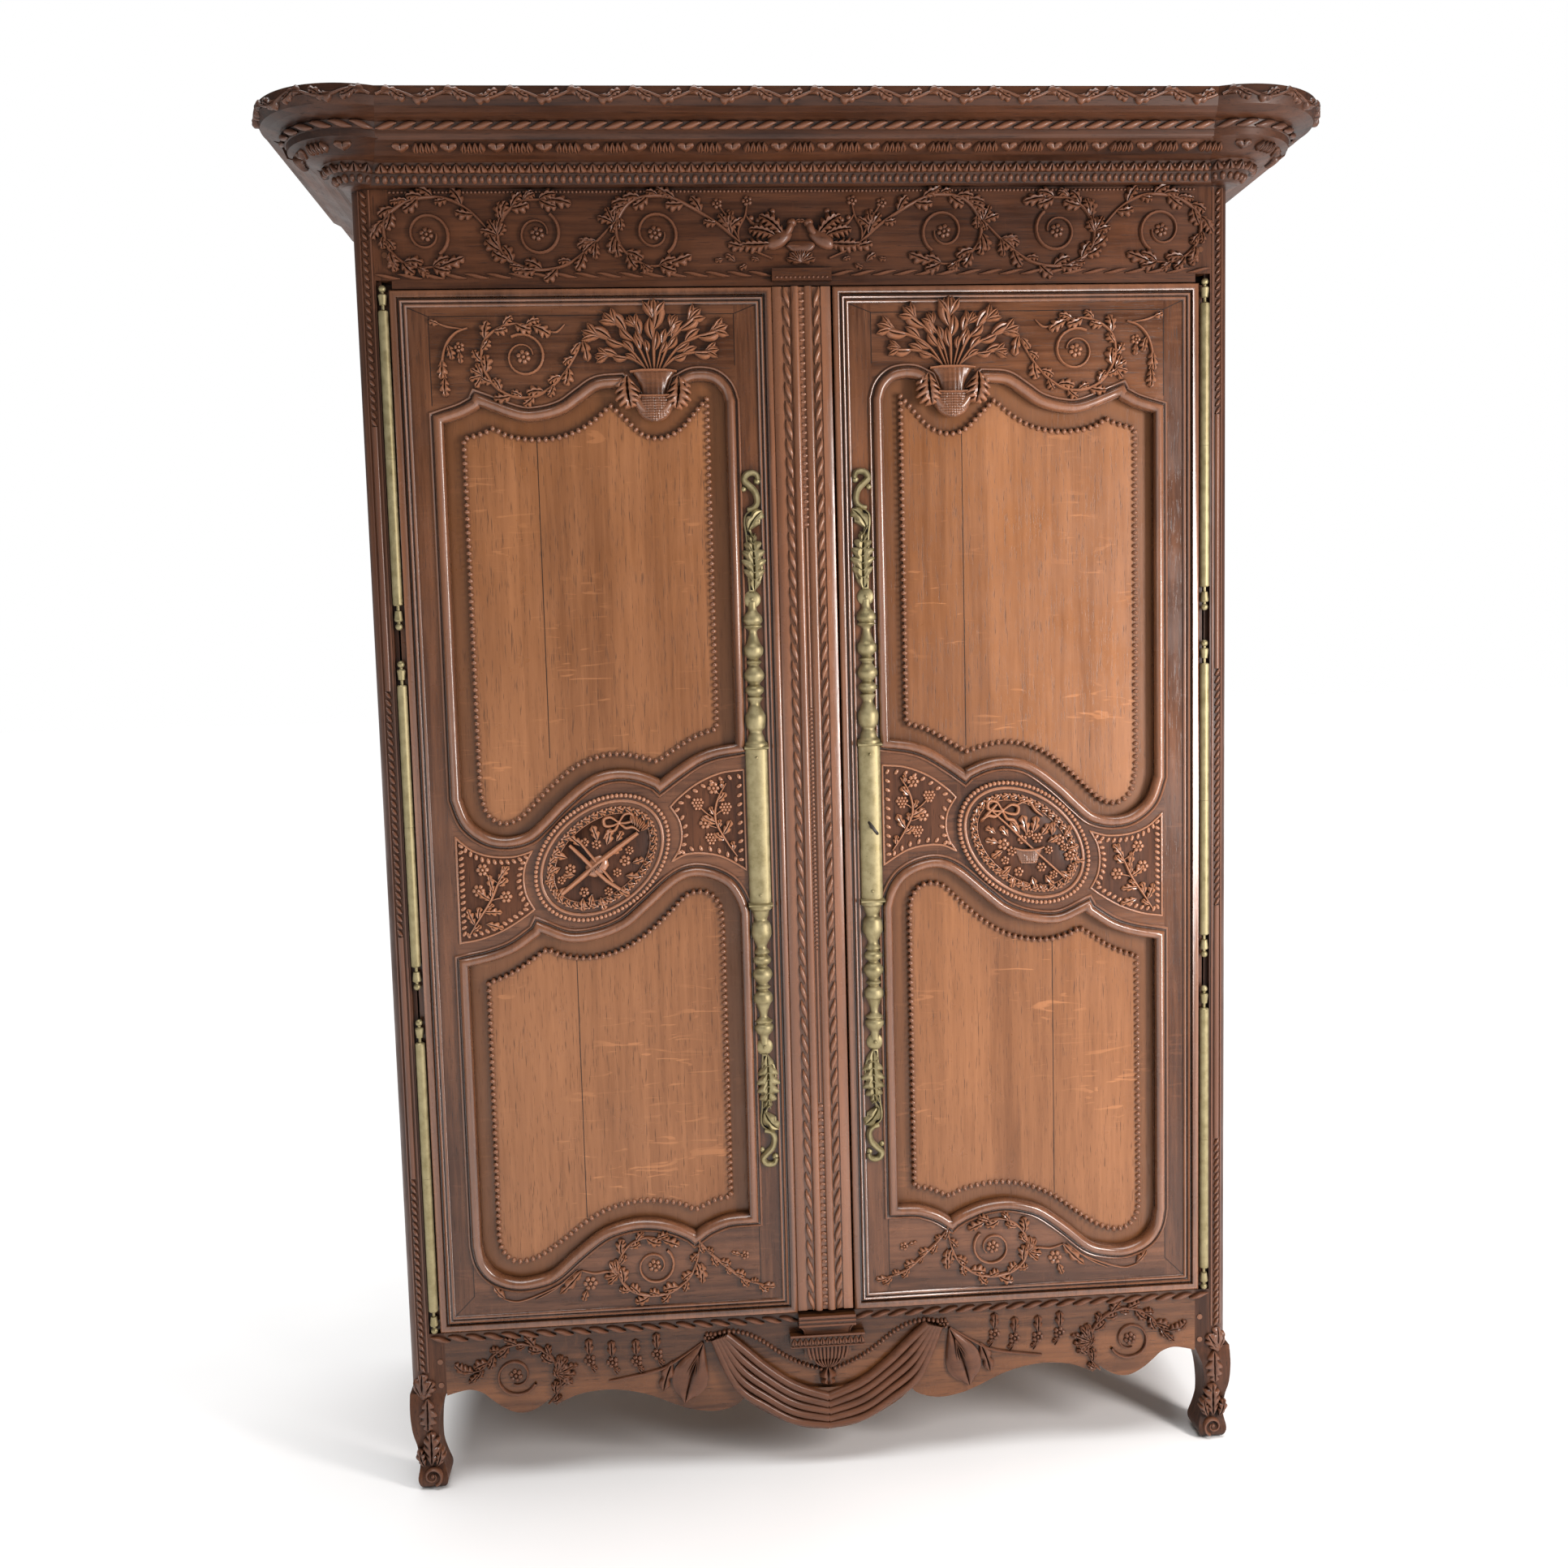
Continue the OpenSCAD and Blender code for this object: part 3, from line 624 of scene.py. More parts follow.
IRON = metal("iron_old", (0.05, 0.045, 0.042), (0.12, 0.11, 0.105), (0.05, 0.022, 0.012), 0.5)
STEEL = metal("steel_worn", (0.3, 0.29, 0.28), (0.55, 0.54, 0.52), (0.1, 0.07, 0.05), 0.35)


def wood_for(slot, grain, seed, **more):
    return oak(f"{slot}_{grain}_{seed}", grain=grain, seed=float(seed), **{**WOODS[slot], **more})


# carved and upright woods whose edges are lightened as wear and as painted highlight
CARVED = {"dark_oak": wood_for("dark_oak", "x", 90, wear=0.38, coat=0.25),
          "frame_oak": wood_for("frame_oak", "x", 90, wear=0.55, coat=0.3)}
UPRIGHT = {slot: wood_for(slot, "z", 91, wear=0.42, coat=0.5) for slot in ("dark_oak", "frame_oak")}
# painted highlight: the medallion, cartouches and trophies get a lighter copy of the frame oak with
# strong edge glint
MEDAL_LIT = oak("medal_oak", (0.095, 0.034, 0.014), (0.29, 0.12, 0.056), fleck=0, rough=0.22,
            coat=0.9, wear=0.6)
GLOSSY = wood_for("frame_oak", "z", 93, wear=0.36, coat=0.9)
# painted shade: the cornice's corner blocks and front are darker than the dark oak, standing in for the
# shadow among its rows; the apron's entry is its own tone
BLOCK_SHADE_TONE = dict(dark=(0.022, 0.007, 0.003), light=(0.085, 0.03, 0.013))
TONES_AND_SHADE = {"cornice_corner": BLOCK_SHADE_TONE,
         "cornice_front": dict(dark=(0.026, 0.0085, 0.0035), light=(0.1, 0.036, 0.016)),
         "apron": dict(dark=(0.058, 0.019, 0.006), light=(0.205, 0.076, 0.027))}
# the corner blocks' carving in the same darkened tone: painted shade
CARVED["block"] = wood_for("dark_oak", "x", 92, wear=0.38, coat=0.2, **BLOCK_SHADE_TONE)
# the ground is dark partly from its punching and partly as painted shade where the ground lies deep
PUNCHED_SHADED_GROUND = oak("punched_shaded_ground", (0.038, 0.0125, 0.0055), (0.125, 0.045, 0.02), fleck=0, rough=0.5,
             coat=0.05, shine=0.25)
SEAM = oak("seam", (0.006, 0.003, 0.002), (0.018, 0.008, 0.005), fleck=0, coat=0.0)


def grain_of(node):
    """A long node's grain runs along its longest side."""
    low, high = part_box(node)
    size = [high[i] - low[i] for i in range(3)]
    return "xyz"[size.index(max(size))]


ALONG_Z = ("panel", "back_boards")
ALONG_X = ("rail", "shelf", "floor", "top_boards")
slots = {s["node"]: s["material_slot"] for s in frame["record"]["subparts"]}
for seed, (node, obj) in enumerate(sorted(frame["nodes"].items())):
    slot = "dark_oak" if node.startswith("front_post") else slots[node]
    if slot in WOODS:
        grain = grain_of(node)
        if any(word in node for word in ALONG_Z):
            grain = "z"
        elif any(word in node for word in ALONG_X) and "side" not in node:
            grain = "x"
        more = next((tones for word, tones in TONES_AND_SHADE.items() if node.startswith(word)), {})
        if "side" in node and "panel" in node:
            more["plank"] = ("Y", 0.19)
        elif "panel" in node:
            front = min(v.co.y for v in obj.data.vertices)
            # sunk marks the border 1.5 mm behind the panel's front, darkened as painted shade
            more = {"plank": ("X", 0.155), "sunk": front + 0.0015}
        elif "boards" in node:
            more["plank"] = ("X", 0.21)
        finish = wood_for(slot, grain, seed, **more)
    else:
        finish = {"brass": BRASS, "iron": IRON, "steel": STEEL}[slot]
    obj.data.materials.clear()
    obj.data.materials.append(finish)


# ---------- Cornice ----------


def cornice_rows(c, face):
    """The carved rows of the cornice, on the front or round a block, up to where the two meet."""

    def row(p0, z0, p1, z1, pitch, least=1, sink=1.5):
        """Goes on to one row: where it starts, how long a step in it is and how many there are."""
        c.on(face(p0, CASE_TOP + z0, p1, CASE_TOP + z1), sink)
        out = (p0 + p1) / 2
        r = out + BLOCK_R - CORNICE_OUT
        meet = math.acos(min(1, (out + BLOCK_BACK) / r))
        if face is on_band:
            high = BLOCK_X - r * math.sin(meet) - 3
            low = -high
        else:
            low, high = -r * max(0, meet - 0.04), r * math.radians(88)
        count = max(least, round((high - low) / pitch))
        return low, (high - low) / count, count

    a, step, count = row(CORNICE_OUT, 88, CORNICE_OUT, 115, 47, least=2, sink=6)
    wave = np.linspace(a, a + count * step, count * 8 + 1)
    stem(c, np.stack([wave, 13.5 + 6 * np.sin((wave - a) / step * math.pi)], -1), 4.5, 3, 1.0)
    for k in range(count):
        side = 1 if k % 2 == 0 else -1
        u = a + (k + 0.15) * step
        leaf(c, u, 13.5, 50 * side, 27, 14, 2, -95 * side, 4)
        leaf(c, u + step * 0.4, 13.5 + 5 * side, -60 * side, 22, 11, 2, 60 * side, 3.6)
    a, step, count = row(94.5, 63.5, 98, 74, 30)
    twist(c, (a, 5.5), (a + count * step, 5.5), 13, step, 5, 1, 0.85)
    a, step, count = row(60, 38, 84, 50, 75)
    t = np.linspace(0, 2 * math.pi, 20, endpoint=False)
    heart_u = 13.5 * np.sin(t) ** 3
    heart_v = 10.5 * np.cos(t) - 4.2 * np.cos(2 * t) - 1.7 * np.cos(3 * t)
    for k in range(count):
        u = a + (k + 0.5) * step
        pad(c, np.stack([u + heart_u, 13.5 + heart_v * 0.86], -1), 4, 3, 3.5)
        for i in (-1.5, -0.5, 0.5, 1.5):
            leaf(c, u + step / 2 + i * 8.5, 24, -90 + i * 4, 21, 9.5, 1, 0, 5.5)
    a, step, count = row(28, 19, 38, 29, 20)
    for k in range(count):
        u = a + (k + 0.5) * step
        leaf(c, u, 15, -90, 15, 17, 1, 0, 6)
        dome(c, u + step / 2, 9, 2.8, 4.5)
    a, step, count = row(12, 3, 24, 17, 12)
    for k in range(count):
        r, rise = (4.8, 6.5) if k % 2 else (4.0, 5)
        dome(c, a + (k + 0.5) * step, 9.2, r, rise, 1.6, 90)


carve("cornice_front_carving", "case", CARVED["dark_oak"], "dark_oak",
      lambda c: cornice_rows(c, on_band))
for side, mirror in SIDES:
    carve(f"cornice_block_carving_{side}", "case", CARVED["block"], "dark_oak",
          lambda c: cornice_rows(c, on_block), mirror=mirror)


# ---------- Frieze ----------

VINES = [
    [(48, 2120), (95, 2142), (145, 2182), (220, 2221), (280, 2214), (306, 2176), (298, 2138),
     (260, 2111), (222, 2112)],
    [(304, 2186), (350, 2141), (395, 2111), (445, 2105), (488, 2123), (502, 2156), (490, 2192),
     (460, 2215), (420, 2217)],
    [(508, 2158), (545, 2199), (590, 2221), (645, 2216), (684, 2186), (680, 2141), (645, 2112),
     (597, 2111)],
]


def bird(c):
    """The bird right of the nest: it faces the middle, wing raised and tail out to the side."""
    dome(c, 36, 2151, 13, 11, 1.9, -32, sides=14)
    stem(c, smooth([(24, 2158), (18, 2168), (15, 2176)]), 13, 8, 0.7)
    dome(c, 14, 2178, 7, 10, 1.2, sides=12)
    leaf(c, 9, 2179, 166, 11, 5, 1, 0, 6)
    leaf(c, 30, 2158, 54, 50, 24, 5, -30, 11)
    leaf(c, 42, 2156, 24, 46, 20, 5, -20, 10)
    leaf(c, 50, 2144, -14, 52, 20, 5, 25, 8)


def frieze_half(c):
    """One side of the frieze's vine, drawn on the right."""
    for k, points in enumerate(VINES):
        path = smooth(points)
        stem(c, path, 7, 4.5, 0.5)
        turn = 1 if k == 1 else -1
        leafy(c, path[4:], 13, 33, 3, 6, 46, turn, 0.5)
        leafy(c, path[len(path) // 3:], 9, 30, 3, 7, 34, -turn, 0.55, one_side=True)
        tip = path[-1]
        leaf(c, tip[0], tip[1], 175 + 8 * turn, 42, 17, 3, 14 * turn, 6.5)
    scroll(c, 243, 2163, 38, 238, -420)
    scroll(c, 437, 2163, 38, 125, 420)
    scroll(c, 618, 2163, 38, 238, -420)
    for u, v, heading in ((310, 2178, 65), (502, 2160, 60), (120, 2168, 100), (340, 2150, -40)):
        for k in (-1, 0, 1):
            leaf(c, u, v, heading + 38 * k, 30, 13, 3, 10 * k, 6.5)
    for path in ([(100, 2132), (104, 2165), (92, 2190), (88, 2212)],
                 [(100, 2145), (118, 2180), (136, 2208)]):
        stem(c, smooth(path), 4.5, 3.5, 0.5)
    for u, v in ((88, 2214), (138, 2210), (118, 2192)):
        rosette(c, u, v, 9, 5, 5)
    stem(c, smooth([(46, 2195), (60, 2178), (78, 2176), (92, 2192)]), 6, 4.5, 0.4)
    for u, v in ((46, 2197), (58, 2186), (70, 2182), (82, 2186), (64, 2174), (76, 2172)):
        dome(c, u, v, 5, 5.5)
    leafy(c, smooth([(60, 2118), (100, 2112), (140, 2124)]), 4, 20, 2, 4.5)
    twist(c, (50, FRIEZE_Z + 19.5), (POST_IN + 24, FRIEZE_Z + 19.5), 11, 36, 4.6)


def frieze(c):
    both_sides(c, frieze_half, bird)
    beads(c, [(-POST_IN, CASE_TOP - 5), (POST_IN, CASE_TOP - 5)], 6.6, 2.5, 2.8)
    nest = [(-24, 2140), (-12, 2130), (12, 2130), (24, 2140), (16, 2147), (-16, 2147), (-24, 2140)]
    pad(c, smooth(nest)[:-1], 7, 4, 2)
    for k in range(7):
        leaf(c, 0, 2112, 90 + (k - 3) * 24, 26, 10, 2, 0, 6)
    c.on(on_front, base=12)
    beads(c, [(-46, FRIEZE_Z + 11), (46, FRIEZE_Z + 11)], 8, 2.2, 2)


carve("frieze_carving", "case", CARVED["dark_oak"], "dark_oak", frieze)


# ---------- Doors ----------

UPPER_TOP = cusped(
    [(OPEN_IN, 1885), (141, 1905), (158, 1919), (185, 1921), (205, 1912)],
    [(213, 1890), (230, 1868), (253, 1858), (276, 1868), (292, 1890)],
    [(313, 1912), (345, 1909), (372, 1892), (402, 1872), (440, 1861), (480, 1861), (543, 1884)],
    [(544, 1882), (570, 1868), (604, 1857)])
MIDDLE_TOP = cusped(
    [(OPEN_IN, 1308), (172, 1302), (205, 1290), (240, 1268), (265, 1250)],
    [(266, 1251), (300, 1265), (337, 1270), (372, 1264), (402, 1248), (440, 1217), (472, 1186),
     (497, 1166), (530, 1159), (562, 1166), (590, 1190), (604, 1228)])
MIDDLE_LOW = cusped(
    [(OPEN_IN, 1012), (141, 1035), (158, 1060), (187, 1075), (217, 1078), (247, 1064),
     (292, 1025), (332, 993), (382, 975), (432, 972), (478, 990)],
    [(479, 988), (520, 960), (560, 945), (604, 936)])
BOTTOM_TOP = cusped(
    [(OPEN_IN, 470), (172, 468), (207, 456), (229, 442)],
    [(230, 443), (255, 456), (292, 468), (332, 471), (372, 463), (402, 450), (442, 420),
     (482, 386), (512, 375), (547, 373), (580, 386), (598, 410), (604, 440)])
UPPER_FIELD = np.concatenate([
    cusped([(165, 1892), (185, 1870), (207, 1846), (227, 1833), (252, 1828), (277, 1836),
            (302, 1860), (326, 1883)],
           [(328, 1883), (352, 1862), (382, 1843), (420, 1831), (460, 1829), (500, 1836), (522, 1849)],
           [(524, 1849), (540, 1841), (573, 1832)]),
    cusped([(573, 1245), (565, 1205), (548, 1186), (530, 1182), (508, 1190), (480, 1216),
            (450, 1245), (410, 1276), (370, 1292), (335, 1296), (300, 1290), (271, 1281)],
           [(269, 1281), (240, 1300), (202, 1322), (165, 1334)])])
LOWER_FIELD = np.concatenate([
    cusped([(165, 990), (169, 1025), (185, 1046), (207, 1051), (228, 1044), (252, 1020),
            (292, 984), (332, 958), (372, 945), (412, 942), (450, 950), (469, 960)],
           [(471, 960), (492, 946), (522, 926), (552, 912), (573, 906)]),
    cusped([(575, 450), (570, 425), (553, 406), (530, 403), (500, 413), (460, 440), (420, 470),
            (380, 490), (340, 500), (300, 501), (252, 492), (230, 480)],
           [(228, 480), (215, 486), (190, 497), (165, 501)])])

HINGE_ROOM = 4.4  # how far the door's edge may stand out beside the hinge
NEAR_HINGE = 30
JOINT_OUT = 622  # where the rails meet the hinge stile
JOINT_IN = 116  # where they meet the meeting stile
JOINT_TOP = 2031
JOINT_LOW = 345
DOOR_EDGE = [(0, -1.5), (0, 5), (2, 8.4), (5, 10), (8, 9.6), (11, 6.8), (12.6, 0.3), (14.6, 0.2),
             (15, 4), (17, 5.6), (19, 4.4), (20, 0.2), (22, 0.2), (22.6, 3), (24.6, 4), (26.4, 3),
             (27.4, -1)]
PANEL_EDGE = [(1.5, -12), (0, -3), (0, 2.5), (1.8, 7), (5, 10.4), (9, 11.6), (13, 10.2), (16, 6.2),
              (17.6, 1.2), (19, 1.2), (20.4, 3.4), (22.4, 4), (24, 2.8), (24.6, -1)]


def opening(top, bottom):
    """A closed line round a door opening, clockwise seen from the front."""
    return np.concatenate([top, bottom[::-1]])


def beside_hinge(u, v, h):
    """The door's face, with its edge moulding kept low near the hinge, to clear the post."""
    room = HINGE_ROOM + np.maximum(DOOR_OUT - u, 0) * 0.2
    return on_front(u, v, np.where(u > DOOR_OUT - NEAR_HINGE, np.minimum(h, room), h))


def door_mouldings(c):
    c.on(beside_hinge)
    edge_line = [(MEET_X, DOOR_LOW), (DOOR_OUT, DOOR_LOW), (DOOR_OUT, DOOR_TOP), (MEET_X, DOOR_TOP)]
    band(c, edge_line, DOOR_EDGE, closed=True)
    for line in (opening(UPPER_TOP, MIDDLE_TOP), opening(MIDDLE_LOW, BOTTOM_TOP)):
        band(c, line, PANEL_EDGE, closed=True)


def seams(c, upper_seam, lower_seam):
    """The joint lines of the rails and stiles, and of the boards in the panels."""
    edge_width = 27
    left, right = MEET_X + edge_width, DOOR_OUT - edge_width
    top, low = DOOR_TOP - edge_width, DOOR_LOW + edge_width
    hair = [(-0.7, -1), (-0.5, 0.3), (0.5, 0.3), (0.7, -1)]
    for line in (
            [(JOINT_OUT, 1886), (JOINT_OUT, JOINT_TOP)], [(JOINT_OUT, JOINT_LOW), (JOINT_OUT, 440)],
            [(JOINT_IN, 1946), (JOINT_IN, JOINT_TOP)], [(JOINT_IN, 318), (JOINT_IN, 446)],
            [(JOINT_IN, JOINT_TOP), (JOINT_OUT, JOINT_TOP)], [(JOINT_OUT, JOINT_TOP), (right, top)],
            [(JOINT_IN, JOINT_TOP), (left, top)], [(JOINT_OUT, JOINT_LOW), (right, low)]):
        band(c, line, hair)
    c.on(on_front, sink=1, base=-6)
    band(c, [(upper_seam, 1292), (upper_seam, 1832)], hair)
    band(c, [(lower_seam, 476), (lower_seam, 940)], hair)


def field_edges(c):
    """The notched rows of petals round the raised fields."""
    c.on(on_front, sink=3, base=-6)
    for field in (UPPER_FIELD, LOWER_FIELD):
        line = np.concatenate([field, field[:1]])
        beads(c, line, 11.5, 4.0, 6, True, 1.3)


def vessel(c, u0, v0, tall, half, rise, relief, columns=33):
    """A rounded vessel: half is its half width at each row upwards, relief the pattern on it."""
    t = np.linspace(-1, 1, columns)
    u = u0 + half[:, None] * t
    v = v0 + tall * np.linspace(0, 1, len(half))[:, None] + 0 * t
    h = rise * np.sqrt(np.clip(1 - t ** 2, 0, 1)) + relief(u, v, t)
    c.patch(np.stack([u, v, h], -1))


def weave(u, v, pitch):
    return np.sin((u + v) * pitch) * np.sin((u - v) * pitch)


def spray(c):
    """The leafy branches that stand in the basket."""
    for u, v, fat in ((146, 2004, 1.1), (158, 1970, 0.9), (186, 2024, 1.1), (218, 2014, 0.9),
                      (250, 2030, 1.3), (284, 2016, 0.9), (318, 2020, 1.1), (350, 1998, 1.1),
                      (334, 1964, 0.9)):
        bow = (u - 252) * 0.12
        mid = ((u + 252) / 2 - bow * 0.5, (v + 1936) / 2 + abs(bow) * 0.8)
        path = smooth([(252 + (u - 252) * 0.1, 1936), mid, (u, v)], 7)
        stem(c, path, 5.5 * fat, 5.5, 0.5)
        heading = math.degrees(headings(path)[-1])
        leafy(c, path[4:], 4, 37 * fat, 1, 7, 30, 1, 0.34)
        for turn in (-24, 24, 0):
            leaf(c, u - 8 * math.cos(math.radians(heading)), v - 8 * math.sin(math.radians(heading)),
                 heading + turn, 27 * fat, 9 * fat, 1, turn * 0.6, 8)


def basket(c):
    """The woven basket with its neck, rim and leaf handles."""
    c.on(on_front, sink=6, base=4)
    s = np.linspace(0, 1, 31)
    half = 30 * np.sqrt(np.clip(1 - (1 - 1.6 * s) ** 2, 0.02, 1))
    vessel(c, 253, 1854, 44, half, 11,
           lambda u, v, t: 1.2 * weave(u, v, 0.72) * (np.abs(t) < 0.93) - 2)
    s = np.linspace(0, 1, 9)
    vessel(c, 253, 1897, 40, 20 + 18 * s ** 2, 9.5, lambda u, v, t: 0.8 * np.abs(np.sin(u * 0.4)) - 2)
    stem(c, [(228, 1897), (240, 1896), (253, 1896), (266, 1896), (278, 1897)], 5, 11, 0.7)
    stem(c, [(214, 1936), (233, 1938), (253, 1938), (273, 1938), (292, 1936)], 6, 10, 0.7)
    for side, u0, v0 in ((-1, 212, 1929), (1, 297, 1931)):
        leaf(c, u0, v0, -90 + side * 6, 54, 34, 5, -side * 22, 10)
        leaf(c, u0 + side * 4, v0 - 4, -90 + side * 40, 26, 14, 3, -side * 40, 7)


def top_rail_carving(c):
    spray(c)
    outer = smooth([(369, 1988), (386, 1959), (407, 1930), (436, 1906), (466, 1897), (500, 1904),
                    (524, 1926), (537, 1957), (532, 1989), (511, 2009), (482, 2018), (452, 2014)])
    stem(c, outer, 6.5, 4.5, 0.5)
    leafy(c, outer[4:], 18, 29, 3, 6.5, 44, 1, 0.52)
    leaf(c, 369, 1990, -112, 36, 14, 2, 20, 6)
    leaf(c, 372, 1986, -40, 26, 11, 2, -20, 6)
    leaf(c, 452, 2014, 200, 34, 17, 3, 15, 7)
    stem(c, smooth([(430, 2006), (412, 2004), (398, 2016)]), 3.5, 3, 0.5)
    scroll(c, 468, 1964, 38, 60, 470, 5.5)
    side = smooth([(558, 2012), (578, 2004), (594, 1985), (602, 1955), (596, 1930)])
    stem(c, side, 5.5, 4.5, 0.5)
    stem(c, smooth([(565, 2010), (590, 2014), (612, 2022)]), 4, 3.5, 0.5)
    leaf(c, 604, 2018, 20, 18, 9, 2, 0, 5)
    leaf(c, 602, 1962, -95, 34, 14, 3, 20, 6.5)
    leaf(c, 598, 1932, -80, 32, 14, 3, -20, 6.5)
    leaf(c, 592, 1985, -120, 26, 12, 3, 30, 6)
    rosette(c, 573, 1981, 9, 5, 5.5)
    leaf(c, 573, 1974, -95, 20, 9, 2, 0, 5)
    for heading in (-60, -20, 25, 60):
        leaf(c, 536, 1934, heading, 24, 10, 2, 10, 5.5)


def bottom_rail_carving(c):
    outer = smooth([(222, 428), (228, 392), (244, 358), (280, 333), (325, 332), (358, 352),
                    (368, 388), (352, 420), (322, 436), (290, 432)])
    stem(c, outer, 6.5, 4.5, 0.5)
    leafy(c, outer[3:], 18, 28, 3, 6.5, 46, 1, 0.52)
    leaf(c, 290, 432, 195, 34, 15, 3, 15, 6.5)
    scroll(c, 304, 384, 36, 130, 450, 5.5)
    branch = smooth([(228, 430), (205, 402), (175, 374), (145, 350), (112, 338)])
    stem(c, branch, 6, 4.5, 0.4)
    leafy(c, branch, 9, 23, 3, 6, 38, 1, 0.5)
    leaf(c, 112, 338, 190, 22, 10, 2, 0, 5)
    leaf(c, 222, 385, -100, 38, 15, 3, 15, 6)
    rosette(c, 143, 394, 8, 5, 4.5)
    leaf(c, 150, 396, 15, 18, 7, 2, 0, 3.5)
    stem(c, smooth([(366, 372), (385, 378), (410, 376), (432, 382)]), 4, 3.5, 0.5)
    for heading in (75, 50, -50, -20):
        leaf(c, 368, 374, heading, 27, 11, 2, 12, 6)
    rosette(c, 418, 358, 13, 6, 6)
    leaf(c, 424, 347, -70, 22, 11, 2, 0, 5.5)
    leaf(c, 432, 384, -52, 58, 15, 3, 12, 6)
    stem(c, smooth([(436, 382), (462, 364), (500, 346), (545, 332), (575, 340)]), 3.5, 3, 0.4)
    stem(c, smooth([(440, 384), (480, 352), (515, 334)]), 3.5, 3, 0.4)
    leaf(c, 568, 340, 45, 30, 11, 2, 10, 5)


ELLIPSE = (369, 1118)
TILT = -38.7


def medallion_frame(c):
    """The medallion's pearls, its plain ring and its border of leaf balls."""
    c.on(on_front, sink=6, base=0)
    for u, v in ellipse(*ELLIPSE, 127, 92, TILT, 88):
        dome(c, u, v, 3.9, 5, base=5)
    c.on(on_front, sink=1.5, base=5)
    ring = ellipse(*ELLIPSE, 117, 83, TILT, 96)
    band(c, ring, half_round(6, 3.5), closed=True)
    border = ellipse(*ELLIPSE, 105, 72, TILT, 36)
    for (u, v), turn in zip(border, np.degrees(headings(np.concatenate([border, border[:1]])))):
        leaf(c, u, v, turn + 20, 15, 11, 2, 20, 5)
        dome(c, u, v, 2.6, 5.2)
    band(c, ellipse(*ELLIPSE, 95, 62, TILT, 96), half_round(2.5, 2), closed=True)


def bow(c, u, v, size, turn=0.0):
    """A ribbon bow with two loops and two tails."""
    for side in (-1, 1):
        loop = [(0, 0), (0.5, 0.5), (1.0, 0.45), (1.0, 0.0), (0.5, -0.1), (0, 0)]
        tail = [(0, 0), (0.4, -0.45), (0.9, -0.5), (1.3, -0.9)]
        for points in (loop, tail):
            x, y = smooth([(side * x * size, y * size) for x, y in points]).T
            stem(c, turned(u, v, x, y, math.radians(turn)), size * 0.28, 5.5, 0.5)
    dome(c, u, v, size * 0.18, 7)


def strew(c, flowers, leaves, turn, bend):
    """The flowers (u, v, radius) and leaves (u, v, heading, size) that fill a medallion."""
    for k, (u, v, r) in enumerate(flowers):
        rosette(c, u, v, r, 5 + k % 2, 6.5, turn=k * turn)
    for u, v, heading, size in leaves:
        leaf(c, u, v, heading, size, size * 0.46, 2, bend, 5.5)


def garden_trophy(c):
    """Right door: bow, rake, basket of flowers and leaves."""
    bow(c, 330, 1176, 26, -12)
    stem(c, smooth([(352, 1184), (376, 1192), (388, 1176), (402, 1164)]), 6, 5, 0.5)
    stem(c, [(312, 1176), (344, 1146), (376, 1114), (408, 1084), (440, 1054)], 5, 5, 0.8)
    stem(c, [(300, 1168), (310, 1178), (320, 1188)], 7, 6, 0.8)
    for k in range(4):
        leaf(c, 300 + 6 * k, 1168 + 6 * k, -130, 15, 5, 1, 0, 5)
    vessel(c, 376, 1082, 26, np.linspace(15, 26, 15), 7.5, lambda u, v, t: weave(u, v, 0.8), 25)
    stem(c, smooth([(349, 1110), (362, 1106), (376, 1105), (390, 1106), (403, 1110)]), 5, 8, 0.7)
    flowers = ((331, 1117, 11), (346, 1104, 9), (358, 1067, 9), (399, 1074, 9), (449, 1092, 10),
               (431, 1122, 10), (334, 1088, 8), (412, 1104, 8), (365, 1124, 9), (392, 1126, 10),
               (378, 1134, 8), (420, 1060, 8), (452, 1070, 7), (440, 1108, 8))
    leaves = ((372, 1134, 95, 34), (384, 1136, 70, 30), (360, 1134, 118, 28), (398, 1130, 45, 26),
              (322, 1120, 160, 24), (330, 1106, 205, 24), (345, 1078, 215, 24), (350, 1060, 250, 22),
              (382, 1058, 280, 24), (405, 1060, 300, 24), (432, 1066, 320, 22), (456, 1084, 350, 20),
              (440, 1128, 50, 22), (418, 1130, 80, 24), (445, 1104, 10, 22), (318, 1136, 140, 22),
              (410, 1118, 20, 22), (340, 1130, 120, 24), (366, 1052, 265, 20), (395, 1046, 290, 18))
    strew(c, flowers, leaves, 0.7, 15)


